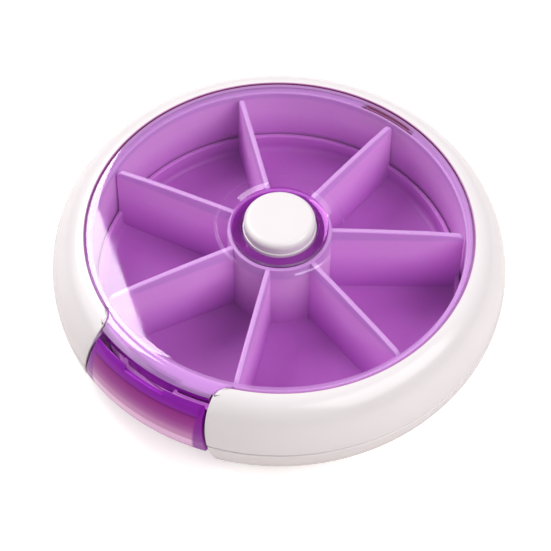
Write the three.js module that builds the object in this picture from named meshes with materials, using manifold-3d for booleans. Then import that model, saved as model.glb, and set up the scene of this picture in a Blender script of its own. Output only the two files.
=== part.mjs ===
// Rotating pill organizer: a push button turns a seven-compartment tray under a clear lid.
// Millimetres, +Z up. The base stands on Z = 0, the tray turns about the Z axis, and the
// outlet door faces -Y.

import * as THREE from 'three';
import { mergeVertices } from 'three/addons/utils/BufferGeometryUtils.js';
import Module from 'manifold-3d';

const wasm = await Module();
wasm.setup();
const { Manifold, Mesh } = wasm;

// Driving sizes of the body
const bodyRadius = 45;
const partingHeight = 11;
const rimHeight = 22;
const rimWidth = 7;
const footInset = 9.2;
const shellWall = 1.6;
const baseThickness = 1.6;
const footRecess = 0.5;
const footRingWidth = 5;
const partingSlit = 0.3;

// Clearances: between parts that touch, and between parts that move past each other
const seatGap = 0.3;
const runningGap = 0.3;
const overrun = 1;

// Driving sizes of the tray
const compartments = 7;
const trayFloor = 4.5;
const trayThickness = 1.4;
const trayLip = 8.2;
const lipThickness = 0.9;
const coveRadius = 1.2;
const hubRadius = 10.2;
const hubWall = 0.8;
const vaneTopThickness = 1;
const vaneFootThickness = 1.5;
const vaneCorner = 1.6;
const vaneHeadroom = 0.4;
const trayRestAngle = THREE.MathUtils.degToRad(-2);

// Driving sizes of the liner
const linerWall = 1.3;
const linerSetback = 0.2;
const flangeThickness = 1.1;
const flangeWidth = 1.8;
const windowHalfWidth = 11.4;
const windowTop = 18.4;
const hookNotchHalfWidth = 6.2;

// Driving sizes of the lid
const lidThickness = 1.1;
const lidRise = 1.5;
const collarBore = 7.5;
const collarWall = 1.6;
const collarDepth = 4.4;
const collarStep = 0.5;
const lidBossRadius = 12.3;
const lidBossRise = 0.35;
const tongueSetback = 4.1;
const hookHalfWidth = 5.3;
const hookThickness = 0.6;
const frontHookThickness = 1.6;
const hookDepth = 3;
const barbReach = 0.9;
const barbHeight = 0.9;

// Driving sizes of the door and its gap in the body
const gapHalfWidth = 13.2;
const gapWidthHeight = 20.4;
const gapFlareShare = 1 / 6;
const gapCorner = 3.2;
const gapEndWall = 1.5;
const sillWall = 0.8;
const sillTop = 8.3;
const doorGap = 0.6;
const doorWall = 1.5;
const doorSideWall = 1.4;
const doorBottom = 8.9;
const doorTopWidth = 3.05;
const doorSideReach = 6;
const doorSideTop = 17.2;
const doorScoopReach = 4.7;
const doorScoopWall = 1.3;
const nailNotchHalfWidth = 4.5;
const nailNotchReach = 0.8;
const nailNotchDrop = 1;
const hingeInset = 4.6;
const hingeHeight = 11;
const pinRadius = 0.65;

// Driving sizes of the push button and its drive
const buttonRadius = 7.2;
const buttonTop = 25.6;
const buttonTravel = 4;
const buttonWall = 1.2;
const buttonCrown = 1.2;
const buttonStepDrop = 2.6;
const buttonStepWidth = 0.2;
const buttonFlange = 8.9;
const buttonFlangeHeight = 1.1;
const postSide = 2.8;
const postTop = 17.4;
const postBossTop = 9;
const postBossChamfer = 0.7;
const headThickness = 1.6;
const guideRadius = 2.9;
const guideBottom = 13.5;
const stemBore = 4.1;
const stemRadius = 4.9;
const stemBottom = 8;
const ribRadius = 5.8;
const ribTop = 16;
const ribCount = 3;
const ribHalfAngle = THREE.MathUtils.degToRad(11);
const grooveClearance = 0.33;
const driverRadius = 7;
const driverTop = 11.5;
const driverSeat = 2.3;
const pawlCount = 2;
const pawlThickness = 0.6;
const ratchetTeeth = 14;
const ratchetWall = 0.35;
const toothDepth = 0.65;
const ratchetTop = 7.1;
const springWire = 0.6;
const springRadius = 3.5;
const springTurns = 9;

// Driving sizes of the detent leaf
const leafThickness = 0.3;
const leafWidth = 4;
const leafHalfLength = 9;
const leafInset = 9.2;
const notchDepth = 0.6;
const notchHalfWidth = 1.6;
const pegRadius = 0.8;

// Radii that follow from the body's radius and the widths above
const rimRadius = bodyRadius - rimWidth;
const footRadius = bodyRadius - footInset;
const lidRadius = rimRadius - seatGap;
const linerOuter = rimRadius - linerSetback;
const linerInner = linerOuter - linerWall;
const flangeRadius = linerOuter + flangeWidth;
const pocketRadius = flangeRadius + seatGap;
const shellInnerRadius = linerOuter + seatGap;
const sillRadius = shellInnerRadius + sillWall;
const trayRadius = linerInner - runningGap;
const leafRadius = trayRadius - leafInset;
const tongueRadius = bodyRadius - tongueSetback;
const doorInnerRadius = bodyRadius - doorTopWidth;
const doorSideDepth = bodyRadius - doorSideReach;
const doorScoopDepth = bodyRadius - doorScoopReach;
const hingeDepth = bodyRadius - hingeInset;

// Facet counts round a full turn
const bodySegments = 60;
const traySegments = 70;
const smallSegments = 36;
const pinSegments = 12;
const outerSteps = 8;
const lowerSteps = 7;
const innerSteps = 3;
const doorSteps = 8;
const tongueSteps = 4;
const domeSteps = 4;
const crownSteps = 4;
const coveSteps = 2;
const pawlSteps = 8;

// Colours and finishes
const whiteGloss = { color: 0xf3f0ef, roughness: 0.22, metalness: 0 };
const orchid = { color: 0xb878d4, roughness: 0.42, metalness: 0 };
const clear = { metalness: 0, transparent: true };
const violetClear = { ...clear, color: 0x8a24b8, roughness: 0.15, opacity: 0.75 };
const lilacClear = { ...clear, color: 0xe8d8f4, roughness: 0.08, opacity: 0.3 };
const greyAcetal = { color: 0xd8d6d2, roughness: 0.45, metalness: 0 };
const springSteel = { color: 0xb8bbc0, roughness: 0.3, metalness: 1 };

// Mesh and solid helpers

// A closed geometry becomes a solid once its shared corners are merged.
function solidOf(geometry) {
  geometry.deleteAttribute('normal');
  geometry.deleteAttribute('uv');
  const merged = mergeVertices(geometry);
  const index = merged.index.array;
  const kept = [];
  for (let i = 0; i < index.length; i += 3) {
    const [a, b, c] = [index[i], index[i + 1], index[i + 2]];
    if (a !== b && b !== c && c !== a) kept.push(a, b, c);
  }
  return new Manifold(new Mesh({
    numProp: 3,
    vertProperties: new Float32Array(merged.attributes.position.array),
    triVerts: new Uint32Array(kept),
  }));
}

const pill = new THREE.Group();

function addPiece(name, solid, finish) {
  const mesh = solid.getMesh();
  const geometry = new THREE.BufferGeometry();
  geometry.setAttribute('position', new THREE.BufferAttribute(mesh.vertProperties, 3));
  geometry.setIndex(new THREE.BufferAttribute(mesh.triVerts, 1));
  geometry.computeVertexNormals();
  const material = new THREE.MeshStandardMaterial({ ...finish, flatShading: true });
  const piece = new THREE.Mesh(geometry, material);
  piece.name = name;
  pill.add(piece);
  return piece;
}

// A closed outline of [radius, height] corners, turned about the Z axis.
function revolve(outline, segments) {
  const points = [...outline, outline[0]].map(([radius, height]) => new THREE.Vector2(radius, height));
  return solidOf(new THREE.LatheGeometry(points, segments).rotateX(Math.PI / 2));
}

// A plain ring or disc between two radii and two heights.
function ring(inner, outer, bottom, top, segments) {
  return revolve([[inner, bottom], [outer, bottom], [outer, top], [inner, top]], segments);
}

// A closed outline of [x, y] corners, raised from one height to another.
function plate(outline, bottom, top) {
  const shape = new THREE.Shape(outline.map(([x, y]) => new THREE.Vector2(x, y)));
  const geometry = new THREE.ExtrudeGeometry(shape, { depth: top - bottom, bevelEnabled: false });
  return solidOf(geometry.translate(0, 0, bottom));
}

// A closed outline of [x, z] corners, carried along Y from the back to the front.
function slab(outline, back, front) {
  const shape = new THREE.Shape(outline.map(([x, z]) => new THREE.Vector2(x, z)));
  const geometry = new THREE.ExtrudeGeometry(shape, { depth: back - front, bevelEnabled: false });
  return solidOf(geometry.rotateX(Math.PI / 2).translate(0, back, 0));
}

function block([x0, x1], [y0, y1], [z0, z1]) {
  return plate([[x0, y0], [x1, y0], [x1, y1], [x0, y1]], z0, z1);
}

// A rod along X between two places.
function rodAlongX(radius, y, z, x0, x1) {
  const geometry = new THREE.CylinderGeometry(radius, radius, x1 - x0, pinSegments);
  return solidOf(geometry.rotateZ(Math.PI / 2).translate((x0 + x1) / 2, y, z));
}

function rodAlongZ(radius, x, y, z0, z1, segments = pinSegments) {
  const geometry = new THREE.CylinderGeometry(radius, radius, z1 - z0, segments);
  return solidOf(geometry.rotateX(Math.PI / 2).translate(x, y, (z0 + z1) / 2));
}

function turned(solid, angle) {
  return solid.rotate([0, 0, THREE.MathUtils.radToDeg(angle)]);
}

function joined(solids) {
  return solids.reduce((whole, solid) => whole.add(solid));
}

// Points of an elliptic arc, as [radius, height].
function arc([centreR, centreZ], [semiR, semiZ], from, to, steps) {
  const points = [];
  for (let i = 0; i <= steps; i++) {
    const angle = from + (to - from) * i / steps;
    points.push([centreR + semiR * Math.cos(angle), centreZ + semiZ * Math.sin(angle)]);
  }
  return points;
}

const quarter = Math.PI / 2;

// The body's outer surface is two quarter ellipses that meet at the parting line.
const upperSemi = [bodyRadius - rimRadius, rimHeight - partingHeight];
const lowerSemi = [bodyRadius - footRadius, partingHeight];
const upperCentre = [rimRadius, partingHeight];
const lowerCentre = [footRadius, partingHeight];

function upperArc(inset, from, to, steps) {
  return arc(upperCentre, [upperSemi[0] - inset, upperSemi[1] - inset], from, to, steps);
}

function lowerArc(inset, from, to, steps) {
  return arc(lowerCentre, [lowerSemi[0] - inset, lowerSemi[1] - inset], from, to, steps);
}

// Angle on the upper or lower ellipse at a radius or a height.
function upperAngleAtRadius(radius, inset = 0) {
  return Math.acos((radius - rimRadius) / (upperSemi[0] - inset));
}

function upperAngleAtHeight(height, inset = 0) {
  return Math.asin((height - partingHeight) / (upperSemi[1] - inset));
}

function lowerAngleAtRadius(radius, inset = 0) {
  return -Math.acos((radius - footRadius) / (lowerSemi[0] - inset));
}

function lowerAngleAtHeight(height, inset = 0) {
  return Math.asin((height - partingHeight) / (lowerSemi[1] - inset));
}

// Heights and radii shared by the lid, the liner flange and the shell's lip
const lidSeat = rimHeight - lidThickness;
const flangeTop = lidSeat - seatGap;
const flangeBottom = flangeTop - flangeThickness;

// The lid is a shallow dome: its underside at a radius.
const lidUnder = (radius) => lidSeat + lidRise * (1 - (radius / lidRadius) ** 2);

// The door gap: a wedge of the body between two faces that spread towards the base.
const gapFront = -(bodyRadius + overrun);
const gapBack = -(rimRadius * Math.cos(Math.asin(gapHalfWidth / rimRadius)) - gapCorner - overrun);

function gapHalfWidthAt(height) {
  return gapHalfWidth + (gapWidthHeight - height) * gapFlareShare;
}

function gapWedge(inset, bottom = -overrun, top = rimHeight + overrun) {
  const low = gapHalfWidthAt(bottom) - inset;
  const high = gapHalfWidthAt(top) - inset;
  return slab([[-low, bottom], [low, bottom], [high, top], [-high, top]], gapBack, gapFront);
}

// The corner of the shell beside the gap is rounded in plan where it meets the bore.
const cornerCentreX = gapHalfWidth + gapCorner;
const cornerCentreY = -Math.sqrt((rimRadius + gapCorner) ** 2 - cornerCentreX ** 2);

function gapCorners(radius) {
  const touchX = cornerCentreX * rimRadius / (rimRadius + gapCorner);
  const touchY = cornerCentreY * rimRadius / (rimRadius + gapCorner);
  const wedge = [
    [0, cornerCentreY],
    [cornerCentreX, cornerCentreY],
    [touchX, touchY],
    [0, touchY],
  ];
  const round = rodAlongZ(radius, cornerCentreX, cornerCentreY, 0, bodyRadius, smallSegments);
  const right = plate(wedge, flangeTop, rimHeight + overrun).subtract(round);
  return right.add(right.mirror([1, 0, 0]));
}

// Lap joint at the parting line: the lower shell's upstand stands inside the upper shell.
const lapHeight = 2;
const lapOuter = bodyRadius - shellWall / 2;
const lapInner = bodyRadius - shellWall - seatGap;
const lapTop = partingHeight + lapHeight;
const snapCount = 8;
const snapHalfWidth = 3;
const snapReach = 0.5;
const snapRise = 0.6;
const snapHeight = 0.7;
const snapLow = partingHeight + snapRise;
const snapHigh = snapLow + snapHeight;
const partingGap = partingSlit / 2;

// Snaps and ribs stand at even steps round the ring, but not beside the door.
const facesDoor = (angle) => Math.sin(angle) < -Math.cos(quarter / 3);

function snapBlocks(inner, outer, halfWidth, low, high) {
  const blocks = [];
  for (let i = 0; i < snapCount; i++) {
    const angle = (2 * Math.PI * i) / snapCount;
    const snap = block([inner, outer], [-halfWidth, halfWidth], [low, high]);
    if (!facesDoor(angle)) blocks.push(turned(snap, angle));
  }
  return joined(blocks);
}

// End walls close the hollow shells on both sides of the door gap.
function endWalls(filled) {
  return filled.intersect(gapWedge(-gapEndWall)).subtract(gapWedge(0));
}

const holeEnd = gapHalfWidthAt(hingeHeight) + gapEndWall;
const hingeHole = rodAlongX(pinRadius + seatGap, -hingeDepth, hingeHeight, -holeEnd, holeEnd);

// Upper shell: the white ring, from the parting line up and over to the lid
function upperShell() {
  const start = Math.asin(partingGap / upperSemi[1]);
  const skin = revolve([
    ...upperArc(0, start, quarter, outerSteps),
    [rimRadius, lidSeat],
    [pocketRadius, lidSeat],
    ...upperArc(shellWall, upperAngleAtRadius(pocketRadius, shellWall),
      upperAngleAtHeight(lapTop + seatGap, shellWall), innerSteps),
    [lapOuter, lapTop + seatGap],
    [lapOuter, partingHeight + partingGap],
  ], bodySegments);
  const filled = revolve([
    [shellInnerRadius, partingHeight + partingGap],
    ...upperArc(shellWall / 2, upperAngleAtHeight(partingHeight + partingGap, shellWall / 2),
      upperAngleAtRadius(pocketRadius, shellWall / 2), innerSteps),
    [pocketRadius, flangeBottom - seatGap],
    [shellInnerRadius, flangeBottom - seatGap],
  ], bodySegments);
  const snapRoot = lapOuter + shellWall / 4;
  const snaps = snapBlocks(lapOuter - snapReach, snapRoot, snapHalfWidth, snapLow, snapHigh);
  const whole = skin.add(snaps).add(shellRibs(filled));
  const open = whole.subtract(gapWedge(0)).subtract(gapCorners(gapCorner));
  const lapRoom = ring(lapInner - seatGap, lapOuter, partingHeight, lapTop + seatGap, bodySegments);
  const ends = endWalls(filled).subtract(lapRoom);
  return open.add(ends).subtract(hingeHole);
}

// Ribs inside the upper shell hold the liner upright.
function shellRibs(filled) {
  const ribs = [];
  const halfThickness = shellWall / 2;
  for (let i = 0; i < snapCount; i++) {
    const angle = (2 * Math.PI * (i + 1 / 2)) / snapCount;
    const length = [shellInnerRadius - overrun, bodyRadius];
    const rib = block(length, [-halfThickness, halfThickness], [lapTop + seatGap, rimHeight]);
    if (!facesDoor(angle)) ribs.push(turned(rib, angle));
  }
  return joined(ribs).intersect(filled);
}

// Lower shell: the white base with the post, the bearing rings and the sill of the outlet
const bearingInner = hubRadius + hubWall / 2 + runningGap;
const bearingOuter = bearingInner + hubWall * 3 / 2;
const trayUnder = trayFloor - trayThickness;
const spigotInner = springRadius + springWire / 2 + runningGap + seatGap / 2;
const driverBore = stemRadius + runningGap;
const spigotOuter = driverBore - runningGap;
const spigotTop = stemBottom - buttonTravel - 2 * runningGap;
const postBossRadius = springRadius - springWire / 2 - runningGap - seatGap / 3;

function lowerShell() {
  const start = -Math.asin(partingGap / lowerSemi[1]);
  const floorEdge = shellInnerRadius + seatGap / 3;
  const footInner = footRadius - footRingWidth;
  const dish = revolve([
    [0, footRecess],
    [footInner - footRecess, footRecess],
    [footInner, 0],
    ...lowerArc(0, -quarter, start, lowerSteps),
    [lapOuter - seatGap, partingHeight - partingGap],
    [lapOuter - seatGap, lapTop],
    [lapInner, lapTop],
    ...lowerArc(shellWall, lowerAngleAtRadius(lapInner, shellWall),
      lowerAngleAtRadius(floorEdge, shellWall), innerSteps),
    [floorEdge, baseThickness],
    [0, baseThickness],
  ], bodySegments);
  const middle = revolve([
    [0, footRecess + baseThickness / 4],
    [bearingOuter, footRecess + baseThickness / 4],
    [bearingOuter, trayUnder - runningGap],
    [bearingInner, trayUnder - runningGap],
    [bearingInner, baseThickness],
    [driverRadius - runningGap, baseThickness],
    [driverRadius - runningGap, driverSeat],
    [spigotOuter, driverSeat],
    [spigotOuter, spigotTop],
    [spigotInner, spigotTop],
    [spigotInner, baseThickness],
    [postBossRadius, baseThickness],
    [postBossRadius, postBossTop - postBossChamfer],
    [postBossRadius - postBossChamfer, postBossTop],
    [0, postBossTop],
  ], smallSegments);
  const filled = revolve([
    ...lowerArc(shellWall / 2, lowerAngleAtRadius(shellInnerRadius, shellWall / 2),
      lowerAngleAtHeight(partingHeight - partingGap, shellWall / 2), innerSteps),
    [shellInnerRadius, partingHeight - partingGap],
  ], bodySegments);
  const windows = snapBlocks(lapInner - overrun, lapOuter, snapHalfWidth + seatGap,
    snapLow - seatGap, snapHigh + seatGap);
  const sillZone = gapWedge(-gapEndWall / 2, 0, partingHeight);
  const sill = ring(shellInnerRadius, sillRadius, baseThickness - seatGap, sillTop, bodySegments)
    .intersect(sillZone);
  const keptCore = ring(0, sillRadius, -2 * overrun, rimHeight, bodySegments);
  const half = postSide / 2;
  const post = block([-half, half], [-half, half], [postBossTop - overrun, postTop]);
  return dish
    .subtract(windows)
    .subtract(gapWedge(0).subtract(keptCore))
    .add(endWalls(filled))
    .subtract(hingeHole)
    .add(sill)
    .add(middle)
    .add(post)
    .add(leafPegs());
}

// Liner: the fixed wall round the tray, its flange, its tongue in the gap and the outlet window
const notchInner = linerInner + hookThickness / 2 + seatGap / 2;
const hookInner = lidRadius - hookThickness;
const frontHookOuter = tongueRadius - seatGap / 3;
const frontHookInner = frontHookOuter - frontHookThickness;

function liner() {
  const wall = revolve([
    [linerInner, baseThickness + seatGap],
    [linerOuter, baseThickness + seatGap],
    [linerOuter, flangeBottom],
    [flangeRadius, flangeBottom],
    [flangeRadius, flangeTop],
    [linerInner, flangeTop],
  ], bodySegments);
  const apron = tongueRing(seatGap + lidThickness, flangeThickness, tongueRadius - seatGap)
    .intersect(gapWedge(seatGap));
  const window = block([-windowHalfWidth, windowHalfWidth], [gapFront, -rimRadius / 2],
    [sillTop + seatGap / 3, windowTop]);
  const notchBottom = flangeBottom - hookDepth;
  const rearNotch = ring(notchInner, lidRadius + seatGap, notchBottom, rimHeight, bodySegments)
    .intersect(block([-hookNotchHalfWidth, hookNotchHalfWidth], [0, bodyRadius], [0, bodyRadius]));
  const frontNotch = ring(frontHookInner - seatGap, bodyRadius, notchBottom, rimHeight, bodySegments)
    .intersect(block([-hookNotchHalfWidth, hookNotchHalfWidth], [gapFront, 0], [0, bodyRadius]));
  return wall.add(apron).subtract(window).subtract(rearNotch).subtract(frontNotch);
}

// The tongue of the lid, and under it the liner's apron, follow the body's outer ellipse.
function tongueRing(drop, thickness, edgeRadius) {
  const edgeAngle = upperAngleAtRadius(edgeRadius);
  const top = upperArc(0, edgeAngle, quarter, tongueSteps)
    .map(([radius, height]) => [radius, height - drop]);
  const under = top.map(([radius, height]) => [radius, height - thickness]).reverse();
  const root = linerInner + linerWall / 2;
  const rootTop = rimHeight - drop;
  return revolve([[root, rootTop - thickness], ...under, ...top, [root, rootTop]], bodySegments);
}

// Lid: clear dome with a collar round the button, a tongue and two snap hooks
function lid() {
  const collarOuter = collarBore + collarWall;
  const hubClear = hubRadius + seatGap;
  const collarTop = lidUnder(hubRadius) + lidThickness - collarStep;
  const lidTop = (radius) => lidUnder(radius) + lidThickness;
  const bossFoot = lidBossRadius + lidBossRise;
  const under = [];
  const over = [];
  for (let i = 0; i <= domeSteps; i++) {
    const radius = lidBossRadius + (lidRadius - lidBossRadius) * i / domeSteps;
    under.push([radius, lidUnder(radius)]);
    if (i > 0) over.unshift([radius, lidTop(radius)]);
  }
  const dome = revolve([
    [collarBore, collarTop - collarDepth],
    [collarOuter, collarTop - collarDepth],
    [collarOuter, lidUnder(collarOuter)],
    ...under,
    ...over,
    [bossFoot, lidTop(bossFoot)],
    [lidBossRadius, lidTop(lidBossRadius) + lidBossRise],
    [hubClear, lidTop(hubClear) + lidBossRise],
    [collarOuter + collarStep, collarTop + collarStep / 2],
    [collarOuter, collarTop],
    [collarBore + collarStep / 2, collarTop],
    [collarBore, collarTop - collarStep / 2],
  ], bodySegments);
  const tongueZone = gapWedge(seatGap).add(gapCorners(gapCorner + seatGap));
  const tongue = tongueRing(0, lidThickness, tongueRadius).intersect(tongueZone);
  return dome.add(tongue).add(frontHook()).add(rearHook());
}

function hookBand(inner, outer, low, high, back, front) {
  return ring(inner, outer, low, high, bodySegments)
    .intersect(block([-hookHalfWidth, hookHalfWidth], [front, back], [low - overrun, high + overrun]));
}

function rearHook() {
  const low = lidSeat - hookDepth;
  const stem = hookBand(hookInner, lidRadius, low, lidSeat + lidThickness / 2, bodyRadius, 0);
  const barb = hookBand(hookInner, lidRadius + barbReach, low, low + barbHeight, bodyRadius, 0);
  return stem.add(barb);
}

function frontHook() {
  const low = lidSeat - hookDepth;
  const [, edgeTop] = upperArc(0, upperAngleAtRadius(tongueRadius), quarter, 1)[0];
  const stem = hookBand(frontHookInner, frontHookOuter, low, edgeTop - lidThickness / 2, 0, gapFront);
  const barb = hookBand(frontHookInner - barbReach, frontHookOuter, low, low + barbHeight, 0, gapFront);
  return stem.add(barb);
}

// Tray: floor, raised lip, hub and one vane between each two compartments
function tray() {
  const hubInner = hubRadius - hubWall;
  const hubTop = lidUnder(hubRadius) - vaneHeadroom + seatGap / 3;
  const skirt = hubRadius + hubWall / 2;
  const lipInner = trayRadius - lipThickness;
  const round = lipThickness / 4;
  const coveCentre = [lipInner - coveRadius, trayFloor + coveRadius];
  const cove = arc(coveCentre, [coveRadius, coveRadius], 0, -quarter, coveSteps);
  const dish = revolve([
    [hubInner, baseThickness + seatGap],
    [skirt, baseThickness + seatGap],
    [skirt, trayUnder],
    [trayRadius - hubWall, trayUnder],
    [trayRadius, trayUnder + hubWall],
    [trayRadius, trayLip - round],
    [trayRadius - round, trayLip],
    [lipInner + round, trayLip],
    [lipInner, trayLip - round],
    ...cove,
    [hubRadius, trayFloor],
    [hubRadius, hubTop],
    [hubInner, hubTop],
  ], traySegments);
  const vanes = [];
  const notches = [];
  for (let i = 0; i < compartments; i++) {
    const angle = quarter + (2 * Math.PI * i) / compartments;
    vanes.push(turned(vane(), angle));
    notches.push(turned(detentNotch(), angle));
  }
  return dish.add(joined(vanes)).subtract(joined(notches));
}

// A vane runs out from the hub along +X. It is thicker at its foot, and its outer top corner is round.
function vane() {
  const root = hubRadius - hubWall / 2;
  const foot = trayFloor - trayThickness / 2;
  const crest = lidUnder(root) - vaneHeadroom;
  const end = trayRadius - runningGap / 6;
  const topAt = (radius) => lidUnder(radius) - vaneHeadroom;
  const crownCentre = [end - vaneCorner, topAt(end) - vaneCorner];
  const crown = arc(crownCentre, [vaneCorner, vaneCorner], 0, quarter, crownSteps);
  const middle = (root + end) / 2;
  const side = [[root, foot], [end, foot], ...crown, [middle, topAt(middle)], [root, crest]];
  const outline = slab(side, bodyRadius, -bodyRadius);
  const halfFoot = vaneFootThickness / 2;
  const halfTop = vaneTopThickness / 2;
  const section = new THREE.Shape([
    new THREE.Vector2(-halfFoot, foot),
    new THREE.Vector2(halfFoot, foot),
    new THREE.Vector2(halfTop, crest),
    new THREE.Vector2(-halfTop, crest),
  ]);
  const length = new THREE.ExtrudeGeometry(section, { depth: bodyRadius, bevelEnabled: false });
  const blade = solidOf(length.rotateX(Math.PI / 2).rotateZ(Math.PI / 2));
  return blade.intersect(outline);
}

// The leaf's bump drops into one of these grooves under the floor at each stop.
function detentNotch() {
  const high = trayUnder + notchDepth;
  const groove = [[-notchHalfWidth, trayUnder - overrun], [notchHalfWidth, trayUnder - overrun],
    [notchHalfWidth, trayUnder], [0, high], [-notchHalfWidth, trayUnder]];
  return turned(slab(groove, leafRadius + leafWidth, leafRadius - leafWidth), -quarter);
}

// Detent leaf: a bowed strip on two pegs at the back of the base
const leafSeat = baseThickness + seatGap;
const leafCrest = trayUnder - runningGap;

function leafPegs() {
  const offset = leafHalfLength - leafWidth / 2;
  const top = leafSeat + leafThickness + seatGap;
  const left = rodAlongZ(pegRadius, -offset, leafRadius, baseThickness - overrun / 2, top);
  const right = rodAlongZ(pegRadius, offset, leafRadius, baseThickness - overrun / 2, top);
  return turned(left.add(right), trayRestAngle);
}

function detentLeaf() {
  const offset = leafHalfLength - leafWidth / 2;
  const flat = leafHalfLength - leafWidth;
  const crest = leafCrest - leafThickness;
  const bump = notchHalfWidth * 3 / 4;
  const rise = (leafSeat + crest) / 2;
  const line = [[-leafHalfLength, leafSeat], [-flat, leafSeat], [-bump, rise], [0, crest],
    [bump, rise], [flat, leafSeat], [leafHalfLength, leafSeat]];
  const top = line.map(([x, z]) => [x, z + leafThickness]).reverse();
  const half = leafWidth / 2;
  const strip = slab([...line, ...top], leafRadius + half, leafRadius - half);
  const holeRadius = pegRadius + seatGap;
  const left = rodAlongZ(holeRadius, -offset, leafRadius, 0, rimHeight);
  const right = rodAlongZ(holeRadius, offset, leafRadius, 0, rimHeight);
  return turned(strip.subtract(left).subtract(right), trayRestAngle);
}

// Door: the piece of the body's surface in the gap, with side walls and a scoop floor
function door() {
  const innerTop = upperAngleAtRadius(doorInnerRadius, doorWall);
  const skin = revolve([
    ...lowerArc(0, lowerAngleAtHeight(doorBottom), 0, 2),
    ...upperArc(0, 0, upperAngleAtRadius(doorInnerRadius), doorSteps).slice(1),
    ...upperArc(doorWall, innerTop, 0, doorSteps),
    [lowerArc(doorWall, lowerAngleAtHeight(doorBottom, doorWall), 0, 1)[0][0], doorBottom],
  ], bodySegments);
  const inside = revolve([
    [0, doorBottom],
    ...lowerArc(doorWall / 2, lowerAngleAtHeight(doorBottom, doorWall / 2), 0, 1),
    ...upperArc(doorWall / 2, 0, upperAngleAtHeight(rimHeight - doorWall, doorWall / 2), doorSteps)
      .slice(1),
    [0, rimHeight - doorWall],
  ], bodySegments);
  const zone = gapWedge(doorGap, doorBottom - overrun, rimHeight);
  const core = gapWedge(doorGap + doorSideWall, doorBottom - 2 * overrun, rimHeight + overrun);
  const front = block([-bodyRadius, bodyRadius], [gapFront, -doorSideDepth], [doorBottom, doorSideTop]);
  const sides = inside.intersect(zone).subtract(core).intersect(front);
  const scoopZone = block([-bodyRadius, bodyRadius], [gapFront, -doorScoopDepth],
    [doorBottom, doorBottom + doorScoopWall]);
  const scoop = inside.intersect(zone).intersect(scoopZone);
  const notchBottom = doorTop() - nailNotchDrop;
  const nailNotch = ring(0, doorInnerRadius + nailNotchReach, notchBottom, rimHeight, bodySegments)
    .intersect(block([-nailNotchHalfWidth, nailNotchHalfWidth], [gapFront, 0], [0, bodyRadius]));
  return skin.intersect(zone).add(sides).add(scoop).subtract(nailNotch).subtract(hingeHole);
}

function doorTop() {
  return upperArc(0, upperAngleAtRadius(doorInnerRadius), quarter, 1)[0][1];
}

function hingePin(side) {
  const wallFace = gapHalfWidthAt(hingeHeight);
  const inner = wallFace - doorGap - doorSideWall;
  const outer = wallFace + gapEndWall - seatGap;
  const pin = rodAlongX(pinRadius, -hingeDepth, hingeHeight, inner, outer);
  return side > 0 ? pin : pin.mirror([1, 0, 0]);
}

// Push button: a hollow cap with a crowned edge, a fine step in its side, and a flange that
// stays under the collar
const buttonBottom = lidUnder(hubRadius) + lidThickness - collarStep - collarDepth - runningGap
  - buttonFlangeHeight;
const socketRadius = buttonRadius - buttonWall;
const headRadius = socketRadius - seatGap;
const headTop = buttonTop - buttonWall - seatGap;
const stemCeiling = headTop - headThickness;

function pushButton() {
  const capRadius = buttonRadius - buttonStepWidth;
  const crownCentre = [capRadius - buttonCrown, buttonTop - buttonCrown];
  const crown = arc(crownCentre, [buttonCrown, buttonCrown], 0, quarter, crownSteps);
  return revolve([
    [socketRadius, buttonBottom],
    [buttonFlange, buttonBottom],
    [buttonFlange, buttonBottom + buttonFlangeHeight],
    [buttonRadius, buttonBottom + buttonFlangeHeight],
    [buttonRadius, buttonTop - buttonStepDrop],
    [capRadius, buttonTop - buttonStepDrop],
    ...crown,
    [0, buttonTop],
    [0, buttonTop - buttonWall],
    [socketRadius, buttonTop - buttonWall],
  ], smallSegments);
}

// A rib or groove that climbs a helix: one whole turn would rise by the lead.
const lead = buttonTravel * compartments;
const layerHeight = 1;

function helix(inner, outer, halfAngle, bottom, top) {
  const layers = Math.ceil((top - bottom) / layerHeight);
  const outerCorners = [[outer, -halfAngle], [outer, 0], [outer, halfAngle]];
  const corners = [[inner, -halfAngle], ...outerCorners, [inner, halfAngle]];
  const count = corners.length;
  const positions = [];
  for (let i = 0; i <= layers; i++) {
    const height = bottom + (top - bottom) * i / layers;
    const twist = 2 * Math.PI * height / lead;
    for (const [radius, angle] of corners) {
      positions.push(radius * Math.cos(angle + twist), radius * Math.sin(angle + twist), height);
    }
  }
  const index = [];
  for (let i = 0; i < layers; i++) {
    for (let j = 0; j < count; j++) {
      const a = i * count + j;
      const b = i * count + (j + 1) % count;
      index.push(a, b, b + count, a, b + count, a + count);
    }
  }
  const last = layers * count;
  for (let j = 1; j < count - 1; j++) {
    index.push(0, j + 1, j, last, last + j, last + j + 1);
  }
  const geometry = new THREE.BufferGeometry();
  geometry.setAttribute('position', new THREE.Float32BufferAttribute(positions, 3));
  geometry.setIndex(index);
  return solidOf(geometry);
}

function helices(inner, outer, halfAngle, bottom, top) {
  const solids = [];
  for (let i = 0; i < ribCount; i++) {
    solids.push(turned(helix(inner, outer, halfAngle, bottom, top), (2 * Math.PI * i) / ribCount));
  }
  return joined(solids);
}

// Cam plunger: head, stem with helical ribs, and a square guide that keeps it from turning
const ribRoot = (stemBore + stemRadius) / 2;

function camPlunger() {
  const body = revolve([
    [stemBore, stemBottom],
    [stemRadius, stemBottom],
    [stemRadius, stemCeiling],
    [headRadius, stemCeiling],
    [headRadius, headTop],
    [0, headTop],
    [0, stemCeiling],
    [guideRadius / 2, stemCeiling],
    [guideRadius / 2, guideBottom],
    [guideRadius, guideBottom],
    [guideRadius, stemCeiling],
    [stemBore, stemCeiling],
  ], smallSegments);
  const half = postSide / 2 + runningGap;
  const bore = block([-half, half], [-half, half], [guideBottom - overrun, stemCeiling]);
  const ribs = helices(ribRoot, ribRadius, ribHalfAngle, stemBottom, ribTop);
  return body.subtract(bore).add(ribs);
}

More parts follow.
